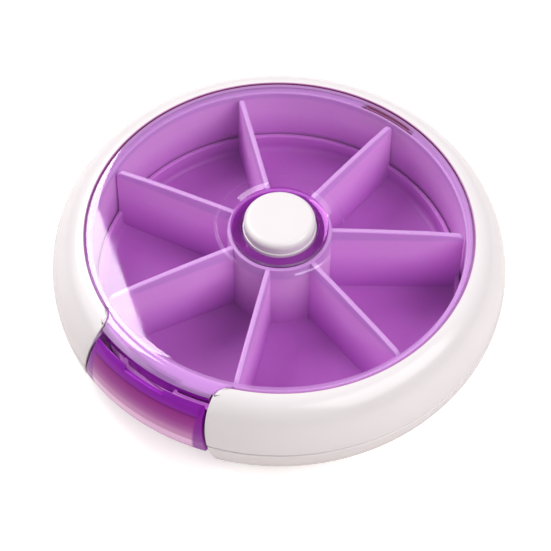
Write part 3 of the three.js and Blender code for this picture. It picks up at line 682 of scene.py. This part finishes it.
def hook(name, stem, barb, top, half_ring):
    """A snap hook: a band of a ring, with a barb along its lower edge."""
    band = ring_outline(*stem, HOOK_LOW, top)
    tip = ring_outline(*barb, HOOK_LOW, HOOK_LOW + BARB_HEIGHT)
    return add(ring_part(name + "_hook", band, HOOK_HALF, half_ring),
               ring_part(name + "_barb", tip, HOOK_HALF, half_ring))


def vane_top(radius):
    return lid_under(radius) - VANE_HEADROOM


def make_vane():
    """A wall between two compartments, that is thinner at its top."""
    root_sink, end_gap, foot_sink, corner = 0.4, 0.05, 0.7, 1.6
    half_foot, half_top, crest = 0.75, 0.5, (30.0, 25.0, 20.0, 15.0)
    root, end, foot = HUB_RADIUS - root_sink, TRAY_RADIUS - end_gap, TRAY_FLOOR - foot_sink
    line = [(root, foot), (end, foot)]
    line += arc((end - corner, vane_top(end) - corner), (corner, corner), 0, QUARTER, steps=8)
    line += [(r, vane_top(r)) for r in crest]
    line += [(root, vane_top(root))]
    vane = raise_outline("vane", [(x, half_foot, z) for x, z in line], (0, -2 * half_foot, 0))
    high = vane_top(root)
    for corner_point in vane.data.vertices:
        share = (corner_point.co.z / MM - foot) / (high - foot)
        corner_point.co.y *= 1 + (half_top / half_foot - 1) * share
    return soften(vane, EDGE, angle=50)


def make_groove():
    """A stop groove, that the leaf spring clicks into from below."""
    half, depth, start, length = 1.6, 0.6, 23.0, 8.0
    line = [(-half, TRAY_UNDER - OVERRUN), (half, TRAY_UNDER - OVERRUN), (half, TRAY_UNDER),
            (0, TRAY_UNDER + depth), (-half, TRAY_UNDER)]
    return raise_outline("stop_groove", [(start, y, z) for y, z in line], (length, 0, 0))


def make_tray():
    lip, cove, chamfer, hub_foot = 0.9, 1.2, 0.8, 10.6
    lip_inner = TRAY_RADIUS - lip
    hub_top = lid_under(HUB_RADIUS) - SEAT_GAP
    outline = [(HUB_INNER, BASE_THICKNESS + SEAT_GAP), (hub_foot, BASE_THICKNESS + SEAT_GAP),
               (hub_foot, TRAY_UNDER), (TRAY_RADIUS - chamfer, TRAY_UNDER),
               (TRAY_RADIUS, TRAY_UNDER + chamfer), (TRAY_RADIUS, TRAY_LIP),
               (lip_inner, TRAY_LIP)]
    outline += arc((lip_inner - cove, TRAY_FLOOR + cove), (cove, cove), 0, -QUARTER, steps=6)
    outline += [(HUB_RADIUS, TRAY_FLOOR), (HUB_RADIUS, hub_top), (HUB_INNER, hub_top)]
    tray = grow_ring("tray", ease(outline, EDGE), TRAY_ROUND)
    vane, groove = make_vane(), make_groove()
    for i in range(COMPARTMENTS):
        angle = QUARTER + TRAY_REST + 2 * math.pi * i / COMPARTMENTS
        add(tray, turn(copy_of(vane, "vane_%d" % i), angle))
        cut(tray, turn(copy_of(groove, "groove_%d" % i), angle))
    bpy.data.objects.remove(vane)
    bpy.data.objects.remove(groove)
    return smooth(tray, angle=40)


def make_button():
    wall, crown, step_width, step_drop, top_ring = 1.2, 1.2, 0.2, 2.6, 3.0
    flange_radius, flange_height = 8.9, 1.1
    low = COLLAR_TOP - COLLAR_DEPTH - SEAT_GAP - flange_height
    flange_top = low + flange_height
    inner = BUTTON_RADIUS - wall
    cap_radius = BUTTON_RADIUS - step_width
    step = BUTTON_TOP - step_drop
    outline = [(inner, BUTTON_TOP - wall), (inner, low), (flange_radius, low),
               (flange_radius, flange_top), (BUTTON_RADIUS, flange_top), (BUTTON_RADIUS, step),
               (cap_radius, step)]
    outline += arc((cap_radius - crown, BUTTON_TOP - crown), (crown, crown), 0, QUARTER,
                   steps=10)
    outline += [(top_ring, BUTTON_TOP), (0, BUTTON_TOP)]
    cap = grow_ring("button_cap", ease(outline, BUTTON_EDGE, closed=False), SMALL_ROUND)
    return smooth(cap)


def door_insides():
    """The door's side walls and the scoop along its lower edge, cut from a filled door."""
    core, top, half = 30, 20.5, DOOR_WALL / 2
    side_depth, side_top, scoop_depth = 39.0, 17.2, 40.3
    outline = [(core, DOOR_BOTTOM)]
    outline += lower_arc(half, lower_at_height(DOOR_BOTTOM, half), 0, steps=4)
    outline += upper_arc(half, 0, upper_at_height(top, half), steps=16)[1:]
    outline += [(core, top)]
    inside = grow_ring("door_sides", outline)
    keep(inside, block("side_reach", DOOR_ACROSS, (-FAR, -side_depth), (0, side_top)))
    inset = DOOR_GAP + DOOR_SIDE_WALL
    cut(inside, gap_wedge(inset, DOOR_SCOOP_TOP, ABOVE))
    behind = gap_wedge(inset, DOOR_BOTTOM - 2 * OVERRUN, DOOR_SCOOP_TOP + OVERRUN)
    keep(behind, block("behind_scoop", DOOR_ACROSS, (-scoop_depth, -DOOR_ROOM), (0, DOOR_ROOM)))
    return cut(inside, behind)


def make_door():
    inner_top = upper_at_radius(DOOR_INNER_RADIUS, DOOR_WALL)
    outline = lower_arc(0, lower_at_height(DOOR_BOTTOM), 0, steps=6)
    outline += upper_arc(0, 0, upper_at_radius(DOOR_INNER_RADIUS), steps=24)[1:]
    outline += upper_arc(DOOR_WALL, inner_top, 0, steps=20)
    outline += lower_arc(DOOR_WALL, 0, lower_at_height(DOOR_BOTTOM, DOOR_WALL), steps=4)[1:]
    door = grow_ring("violet_door", ease(outline, EDGE))
    keep(door, block("front_part", DOOR_ACROSS, (-FAR, -DOOR_ROOM), (0, DOOR_ROOM)))
    add(door, door_insides())
    keep(door, gap_wedge(DOOR_GAP, DOOR_BOTTOM - OVERRUN, RIM_HEIGHT))
    nail_inner, nail_reach, nail_low, nail_half = 40.5, 0.8, 19.08, 4.5
    notch = ring_outline(nail_inner, DOOR_INNER_RADIUS + nail_reach, nail_low, ABOVE)
    cut(door, ring_part("nail_notch", notch, nail_half, FRONT))
    cut(door, hinge_hole())
    soften(door, FINE_EDGE)
    return smooth(door)


# Finishes

PLASTIC_GLOSS = 1.49
CLOUD_LOW, CLOUD_HIGH = 0.3, 0.7


def finish_base(name):
    material = bpy.data.materials.new(name)
    material.use_nodes = True
    nodes = material.node_tree.nodes
    shader = nodes["Principled BSDF"]
    place = nodes.new("ShaderNodeTexCoord")
    return material, material.node_tree, shader, place


def link(tree, start, out_name, end, in_name):
    tree.links.new(start.outputs[out_name], end.inputs[in_name])


def give(node, values):
    """Sets a node's inputs by their names."""
    for name, value in values.items():
        node.inputs[name].default_value = value


def noise(tree, place, scale, detail):
    node = tree.nodes.new("ShaderNodeTexNoise")
    give(node, {"Scale": scale, "Detail": detail})
    link(tree, place, "Object", node, "Vector")
    return node


def spread(tree, source, out_name, low, high, from_low=CLOUD_LOW, from_high=CLOUD_HIGH):
    node = tree.nodes.new("ShaderNodeMapRange")
    give(node, {"From Min": from_low, "From Max": from_high, "To Min": low, "To Max": high})
    link(tree, source, out_name, node, "Value")
    return node


def mask(tree, source, out_name, none, full):
    """A mask that grows from none to full between two places along a measure."""
    if none < full:
        return spread(tree, source, out_name, 0.0, 1.0, none * MM, full * MM)
    return spread(tree, source, out_name, 1.0, 0.0, full * MM, none * MM)


def two_tones(tree, source, out_name, dark, light):
    node = tree.nodes.new("ShaderNodeValToRGB")
    elements = node.color_ramp.elements
    elements[0].position, elements[1].position = CLOUD_LOW, CLOUD_HIGH
    elements[0].color, elements[1].color = (*dark, 1), (*light, 1)
    link(tree, source, out_name, node, "Fac")
    return node


def grain(tree, place, shader, low, high, scale=420.0):
    """Lets the gloss drift in fine specks."""
    rough = spread(tree, noise(tree, place, scale, detail=2.0), "Fac", low, high)
    link(tree, rough, "Result", shader, "Roughness")


def moulded(name, dark, light, rough_low, rough_high, ripple=0.02):
    """Moulded plastic: a slight drift of colour and gloss, and a faint ripple in the surface."""
    material, tree, shader, place = finish_base(name)
    tone = two_tones(tree, noise(tree, place, scale=60.0, detail=3.0), "Fac", dark, light)
    link(tree, tone, "Color", shader, "Base Color")
    grain(tree, place, shader, rough_low, rough_high)
    bump = tree.nodes.new("ShaderNodeBump")
    give(bump, {"Strength": ripple, "Distance": 0.0004})
    link(tree, noise(tree, place, scale=110.0, detail=1.0), "Fac", bump, "Height")
    link(tree, bump, "Normal", shader, "Normal")
    give(shader, {"IOR": PLASTIC_GLOSS})
    return material


def maths(tree, operation, source, out_name, number=0.0):
    """One sum with a measure, and with a number where it needs one."""
    node = tree.nodes.new("ShaderNodeMath")
    node.operation = operation
    link(tree, source, out_name, node, 0)
    node.inputs[1].default_value = number
    return node


def product(tree, factors):
    """Multiplies several masks."""
    total = factors[0]
    for factor in factors[1:]:
        node = tree.nodes.new("ShaderNodeMath")
        node.operation = "MULTIPLY"
        tree.links.new(total.outputs[0], node.inputs[0])
        tree.links.new(factor.outputs[0], node.inputs[1])
        total = node
    return total


def axes_of(tree, place):
    """A place's own x, y and z, and its distance from the tray's axis."""
    parts = tree.nodes.new("ShaderNodeSeparateXYZ")
    link(tree, place, "Object", parts, "Vector")
    flat = tree.nodes.new("ShaderNodeVectorMath")
    flat.operation = "MULTIPLY"
    flat.inputs[1].default_value = (1, 1, 0)
    link(tree, place, "Object", flat, 0)
    radius = tree.nodes.new("ShaderNodeVectorMath")
    radius.operation = "LENGTH"
    tree.links.new(flat.outputs["Vector"], radius.inputs[0])
    return parts, radius


def laid_over(tree, under, share, colour):
    """Lays a colour over another one where the mask says so."""
    mix = tree.nodes.new("ShaderNodeMix")
    mix.data_type = "RGBA"
    tree.links.new(share.outputs[0], mix.inputs["Factor"])
    tree.links.new(under, mix.inputs[6])
    if isinstance(colour, tuple):
        mix.inputs[7].default_value = (*colour, 1)
    else:
        tree.links.new(colour, mix.inputs[7])
    return mix.outputs[2]


def bands(tree, source, out_name, low, high, stops):
    """A colour that changes along one measure, which the stops give in millimetres."""
    share = spread(tree, source, out_name, 0.0, 1.0, low * MM, high * MM)
    ramp = tree.nodes.new("ShaderNodeValToRGB")
    elements = ramp.color_ramp.elements
    elements.remove(elements[1])
    for i, (place, colour) in enumerate(stops):
        where = (place - low) / (high - low)
        element = elements[0] if i == 0 else elements.new(where)
        element.position = where
        element.color = (*colour, 1)
    link(tree, share, "Result", ramp, "Fac")
    return ramp.outputs["Color"]


def mixed(tree, first, second, share):
    """Two shaders, with a share of the second one. A node can give the share."""
    node = tree.nodes.new("ShaderNodeMixShader")
    tree.links.new(first.outputs[0], node.inputs[1])
    tree.links.new(second.outputs[0], node.inputs[2])
    if isinstance(share, float):
        node.inputs[0].default_value = share
    else:
        tree.links.new(share.outputs[0], node.inputs[0])
    return node


def white_finish():
    """Gloss white. Light reaches the walls in the door's gap through violet plastic, and the
    narrow gap round the lid lies in its shade, so violet light and plum shade are painted on
    those walls."""
    # lilac and violet are painted light, plum is painted shade
    lilac_light, plum, violet = (0.72, 0.40, 0.80), (0.13, 0.012, 0.06), (0.28, 0.03, 0.34)
    material = moulded("white_gloss", dark=(0.765, 0.715, 0.73), light=(0.79, 0.74, 0.755),
                       rough_low=0.16, rough_high=0.24)
    tree = material.node_tree
    parts, radius = axes_of(tree, tree.nodes["Texture Coordinate"])
    sideways = maths(tree, "ABSOLUTE", parts, "X")
    # Painted violet light on the white walls inside the door's gap.
    violet_light_in_gap = product(tree, [
        mask(tree, radius, "Value", none=42.2, full=41.4),
        mask(tree, sideways, "Value", none=15.5, full=14.5),
        mask(tree, parts, "Y", none=-33.5, full=-34.5),
        mask(tree, parts, "Z", none=6.0, full=7.0),
        mask(tree, parts, "Z", none=18.6, full=17.8)])
    # Painted shade round the lid: lilac light low on the pocket wall, plum shade above it.
    shade_round_lid = product(tree, [
        mask(tree, radius, "Value", none=RIM_RADIUS + 0.30, full=RIM_RADIUS + 0.18),
        mask(tree, radius, "Value", none=20.0, full=21.0),
        mask(tree, parts, "Z", none=20.4, full=20.6)])
    shade = bands(tree, parts, "Z", low=20.0, high=22.0, stops=[
        (20.0, lilac_light), (21.15, lilac_light), (21.30, plum), (21.85, plum),
        (21.95, (0.40, 0.15, 0.36))])
    colour = laid_over(tree, tree.nodes["Color Ramp"].outputs["Color"], violet_light_in_gap, violet)
    colour = laid_over(tree, colour, shade_round_lid, shade)
    tree.links.new(colour, tree.nodes["Principled BSDF"].inputs["Base Color"])
    return material


def orchid_finish():
    """Satin plastic, deeper in colour down at the tray's floor than on its walls as painted shade
    and painted light, duller along the top edges, and painted dark shade on the outer edges that
    stand in the door's gap."""
    # pale is painted light on the walls, dark is painted shade for the door's gap
    pale, dull, dark = (0.87, 0.49, 0.90), (0.71, 0.42, 0.80), (0.12, 0.008, 0.10)
    material = moulded("orchid_satin", dark=(0.55, 0.165, 0.61), light=(0.59, 0.18, 0.65),
                       rough_low=0.34, rough_high=0.46, ripple=0.03)
    tree = material.node_tree
    shader = tree.nodes["Principled BSDF"]
    parts, radius = axes_of(tree, tree.nodes["Texture Coordinate"])
    # Painted shade and light by height: the colour deepens towards the floor and pales up the
    # walls.
    height = mask(tree, parts, "Z", none=5.0, full=15.0)
    near_top = mask(tree, parts, "Z", none=18.8, full=19.6)
    # Painted shade on the liner's outer edges in the door's gap.
    shaded_gap_edge = product(tree, [
        mask(tree, radius, "Value", none=38.9, full=39.3),
        mask(tree, parts, "Y", none=-33.0, full=-34.0),
        mask(tree, parts, "Z", none=20.5, full=20.3)])
    colour = laid_over(tree, tree.nodes["Color Ramp"].outputs["Color"], height, pale)
    colour = laid_over(tree, colour, near_top, dull)
    colour = laid_over(tree, colour, shaded_gap_edge, dark)
    tree.links.new(colour, shader.inputs["Base Color"])
    give(shader, {"Subsurface Weight": 0.4, "Subsurface Radius": (0.9, 0.35, 1.0),
                  "Subsurface Scale": 0.003})
    return material


def door_finish():
    """The door's violet plastic, with light and shade painted by height. It is deep above, with a
    painted dark line of shade at its crease, and low down the light shines through it, so it is
    painted pale pink there, with a painted highlight. Its side borders stay violet."""
    material, tree, shader, place = finish_base("door_violet")
    parts = axes_of(tree, place)[0]
    # Painted light and shade by height: a pink glow and highlight low down, deepening violet
    # above, and a dark line of shade at the crease.
    colour = bands(tree, parts, "Z", low=8.0, high=20.0, stops=[
        (8.0, (0.66, 0.36, 0.59)), (10.2, (0.94, 0.58, 0.86)), (11.4, (1.0, 0.62, 0.90)),
        (11.9, (0.66, 0.30, 0.55)), (13.0, (0.64, 0.27, 0.55)), (14.0, (0.49, 0.13, 0.42)),
        (15.5, (0.38, 0.05, 0.32)), (17.35, (0.31, 0.02, 0.25)), (17.6, (0.17, 0.004, 0.16)),
        (17.95, (0.30, 0.020, 0.42)), (20.0, (0.30, 0.022, 0.44))])
    sideways = maths(tree, "ABSOLUTE", parts, "X")
    deep_violet = (0.26, 0.008, 0.36)
    border = spread(tree, sideways, "Value", low=0.0, high=0.85,
                    from_low=11.8 * MM, from_high=12.3 * MM)
    colour = laid_over(tree, colour, border, deep_violet)
    tree.links.new(colour, shader.inputs["Base Color"])
    grain(tree, place, shader, low=0.09, high=0.15)
    give(shader, {"IOR": PLASTIC_GLOSS, "Specular Tint": (0.90, 0.30, 0.95, 1),
                  "Transmission Weight": 0.12, "Subsurface Weight": 0.3,
                  "Subsurface Radius": (0.9, 0.3, 1.0), "Subsurface Scale": 0.0015})
    return material


def clear_finish(name, tint, colour, share, sheen=(1, 0.95, 1), rim_only=False):
    """Clear plastic: a tint, with the gloss of its surface by Fresnel, and a body colour that
    holds back a share of the light and glows with it. The body colour can be kept to the
    plate's rim."""
    material, tree, shader, place = finish_base(name)
    give(shader, {"Base Color": (*sheen, 1), "Metallic": 1.0})
    grain(tree, place, shader, low=0.02, high=0.05, scale=300.0)
    through = tree.nodes.new("ShaderNodeBsdfTransparent")
    outside = tree.nodes.new("ShaderNodeBsdfDiffuse")
    inside = tree.nodes.new("ShaderNodeBsdfTranslucent")
    give(through, {"Color": (*tint, 1)})
    give(outside, {"Color": (*colour, 1)})
    give(inside, {"Color": (*colour, 1)})
    held = share
    if rim_only:
        radius = axes_of(tree, place)[1]
        held = spread(tree, radius, "Value", low=0.0, high=share,
                      from_low=(LID_RADIUS - 0.95) * MM, from_high=(LID_RADIUS - 0.75) * MM)
    body = mixed(tree, through, mixed(tree, outside, inside, share=0.5), held)
    fresnel = tree.nodes.new("ShaderNodeFresnel")
    give(fresnel, {"IOR": 1.45})
    side = tree.nodes.new("ShaderNodeNewGeometry")
    front = tree.nodes.new("ShaderNodeMath")
    front.operation = "SUBTRACT"
    front.inputs[0].default_value = 1.0
    link(tree, side, "Backfacing", front, 1)
    both_sides = maths(tree, "MULTIPLY", fresnel, "Fac", number=1.9)
    gloss = product(tree, [both_sides, front])
    gloss.use_clamp = True
    blend = mixed(tree, body, shader, gloss)
    link(tree, blend, "Shader", tree.nodes["Material Output"], "Surface")
    return material


def acetal_finish():
    return moulded("acetal", dark=(0.62, 0.61, 0.59), light=(0.68, 0.67, 0.65),
                   rough_low=0.38, rough_high=0.50)


def steel_finish():
    material = moulded("spring_steel", dark=(0.50, 0.51, 0.53), light=(0.60, 0.61, 0.63),
                       rough_low=0.22, rough_high=0.34)
    give(material.node_tree.nodes["Principled BSDF"], {"Metallic": 1.0})
    return material


def coat_all(piece, material):
    piece.data.materials.clear()
    piece.data.materials.append(material)


# Pieces

white, orchid, door_violet = white_finish(), orchid_finish(), door_finish()
violet_sheen, rose_sheen = (0.72, 0.30, 0.78), (0.9, 0.6, 0.8)
clear_plate = clear_finish("clear_plate", tint=(0.975, 0.95, 0.98), colour=(0.92, 0.58, 1.0),
                           share=0.45, rim_only=True)
clear_collar = clear_finish("clear_collar", tint=(0.88, 0.58, 0.93), colour=(0.52, 0.08, 0.60),
                            share=0.38, sheen=violet_sheen)
violet_hook = clear_finish("violet_hook", tint=(0.80, 0.35, 0.88), colour=(0.45, 0.02, 0.62),
                           share=0.70, sheen=violet_sheen)
# Painted shade of the door's gap, which paint_lid lays on the tongue's end.
painted_gap_shade = clear_finish("painted_gap_shade", tint=(0.60, 0.20, 0.62), colour=(0.10, 0.004, 0.10),
                           share=0.85, sheen=violet_sheen)
# The rear hook is the lid's own tinted plastic; its rose body colour is painted shade of the white
# wall behind it, lit through violet plastic.
rear_hook_painted_shade = clear_finish("rear_hook_painted_shade", tint=(0.94, 0.76, 0.86), colour=(0.85, 0.36, 0.56),
                         share=0.65, sheen=rose_sheen)
acetal, steel = acetal_finish(), steel_finish()


def place_piece(piece, node, body, material):
    coat_all(piece, material)
    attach(piece, body)
    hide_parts(node)


def paint_lid(lid):
    """The lid's plate looks clear, and its collar and its front hook look violet. Its rear hook is
    painted rose, as the shade of the white wall behind it, and the tongue's end is painted dark,
    as the shade of the door's gap."""
    collar_edge, hook_top = COLLAR_OUTER + 0.55, LID_SEAT - 0.4
    hooks_start, tongue_end, upright = 36, 40.2, 0.5
    looks = [clear_plate, clear_collar, violet_hook, painted_gap_shade, rear_hook_painted_shade]
    lid.data.materials.clear()
    for look in looks:
        lid.data.materials.append(look)
    for face in lid.data.polygons:
        centre = face.center / MM
        radius = math.hypot(centre.x, centre.y)
        look = clear_plate
        if radius < collar_edge:
            look = clear_collar
        elif centre.z < hook_top and radius > hooks_start:
            look = rear_hook_painted_shade if centre.y > 0 else violet_hook
        elif radius > tongue_end and abs(face.normal.z) < upright:
            look = painted_gap_shade
        face.material_index = looks.index(look)


place_piece(make_upper_shell(), "upper_shell", "housing", white)
place_piece(make_lower_shell(), "lower_shell", "housing", white)
place_piece(make_liner(), "liner_ring", "housing", orchid)
place_piece(make_tray(), "pill_tray", "tray", orchid)
place_piece(make_button(), "push_button", "button", white)
place_piece(make_door(), "outlet_door", "door", door_violet)
lid = make_lid()
place_piece(lid, "lid_window", "housing", clear_plate)
paint_lid(lid)

for node in ("cam_plunger", "index_driver", "ratchet_ring"):
    coat_all(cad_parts[node], acetal)
for node in ("return_spring", "detent_leaf", "hinge_pin_left", "hinge_pin_right"):
    coat_all(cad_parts[node], steel)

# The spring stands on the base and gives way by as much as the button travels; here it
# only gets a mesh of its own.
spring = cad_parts["return_spring"]
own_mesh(spring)


# Room, light and camera

def lay_floor():
    """A pale floor that looks brighter to the camera than it lights the object."""
    clear_selection()
    bpy.ops.mesh.primitive_plane_add(size=6.0)
    floor = bpy.context.active_object
    floor.name = "pale_floor"
    material, tree, shader, _ = finish_base("pale_floor")
    give(shader, {"Base Color": (0.90, 0.85, 0.83, 1), "Roughness": 0.9})
    rays = tree.nodes.new("ShaderNodeLightPath")
    glow = tree.nodes.new("ShaderNodeEmission")
    give(glow, {"Color": (1, 1, 1, 1)})
    strength = maths(tree, "MULTIPLY", rays, "Is Camera Ray", number=0.45)
    link(tree, strength, "Value", glow, "Strength")
    both = tree.nodes.new("ShaderNodeAddShader")
    tree.links.new(shader.outputs["BSDF"], both.inputs[0])
    tree.links.new(glow.outputs["Emission"], both.inputs[1])
    link(tree, both, "Shader", tree.nodes["Material Output"], "Surface")
    coat_all(floor, material)


def lamp(name, place, target, width, height, glow):
    """A flat lamp. Its glow is how bright its face looks."""
    data = bpy.data.lights.new(name, "AREA")
    data.shape = "RECTANGLE"
    data.size, data.size_y = width, height
    data.energy = glow * math.pi * width * height
    body = bpy.data.objects.new(name, data)
    bpy.context.collection.objects.link(body)
    body.location = place
    body.rotation_euler = (Vector(target) - Vector(place)).to_track_quat("-Z", "Y").to_euler()


def light_room():
    """Soft light from all round, a white background for the camera, and three lamps. The tall
    one on the left is the bright crescent on the lid."""
    world = bpy.data.worlds.new("soft_room")
    bpy.context.scene.world = world
    world.use_nodes = True
    tree = world.node_tree
    ambient = tree.nodes["Background"]
    give(ambient, {"Color": (1, 1, 1, 1), "Strength": 0.19})
    white_back = tree.nodes.new("ShaderNodeBackground")
    give(white_back, {"Strength": 1.0})
    rays = tree.nodes.new("ShaderNodeLightPath")
    blend = mixed(tree, ambient, white_back, rays)
    link(tree, blend, "Shader", tree.nodes["World Output"], "Surface")
    lamp("window", place=(-0.538, 0.118, 0.82), target=(0.428, -0.141, 0.82),
         width=0.40, height=0.84, glow=9.0)
    lamp("right_panel", place=(0.633, 0.055, 0.706), target=(0, 0, 0.01),
         width=0.9, height=0.6, glow=4.2)
    lamp("left_panel", place=(-0.622, -0.359, 0.542), target=(0, 0, 0.01),
         width=0.6, height=0.6, glow=1.6)


def set_camera():
    """The photograph's view: the aim point on the tray's axis, then the lens's small turns."""
    azimuth, elevation = math.radians(36.0), math.radians(52.39)
    aim = Vector((0, 0, 20.967)) * MM
    distance = 389.74 * MM
    yaw, pitch, roll = math.radians(-0.098), math.radians(-1.244), math.radians(0.900)
    back = Vector((math.sin(azimuth) * math.cos(elevation),
                   -math.cos(azimuth) * math.cos(elevation), math.sin(elevation)))
    right = Vector((math.cos(azimuth), math.sin(azimuth), 0))
    up = right.cross(-back)
    ahead = (-back + math.tan(yaw) * right + math.tan(pitch) * up).normalized()
    side = ahead.cross(up).normalized()
    top = side.cross(ahead)
    side_rolled = math.cos(roll) * side + math.sin(roll) * top
    top_rolled = -math.sin(roll) * side + math.cos(roll) * top
    data = bpy.data.cameras.new("camera")
    data.sensor_width = 36.0
    data.lens = 130.3
    data.clip_start = 0.01
    body = bpy.data.objects.new("camera", data)
    bpy.context.collection.objects.link(body)
    axes = Matrix((side_rolled, top_rolled, -ahead)).transposed()
    body.matrix_world = Matrix.Translation(aim + back * distance) @ axes.to_4x4()
    bpy.context.scene.camera = body


lay_floor()
light_room()
set_camera()
bpy.context.scene.view_settings.view_transform = "Standard"
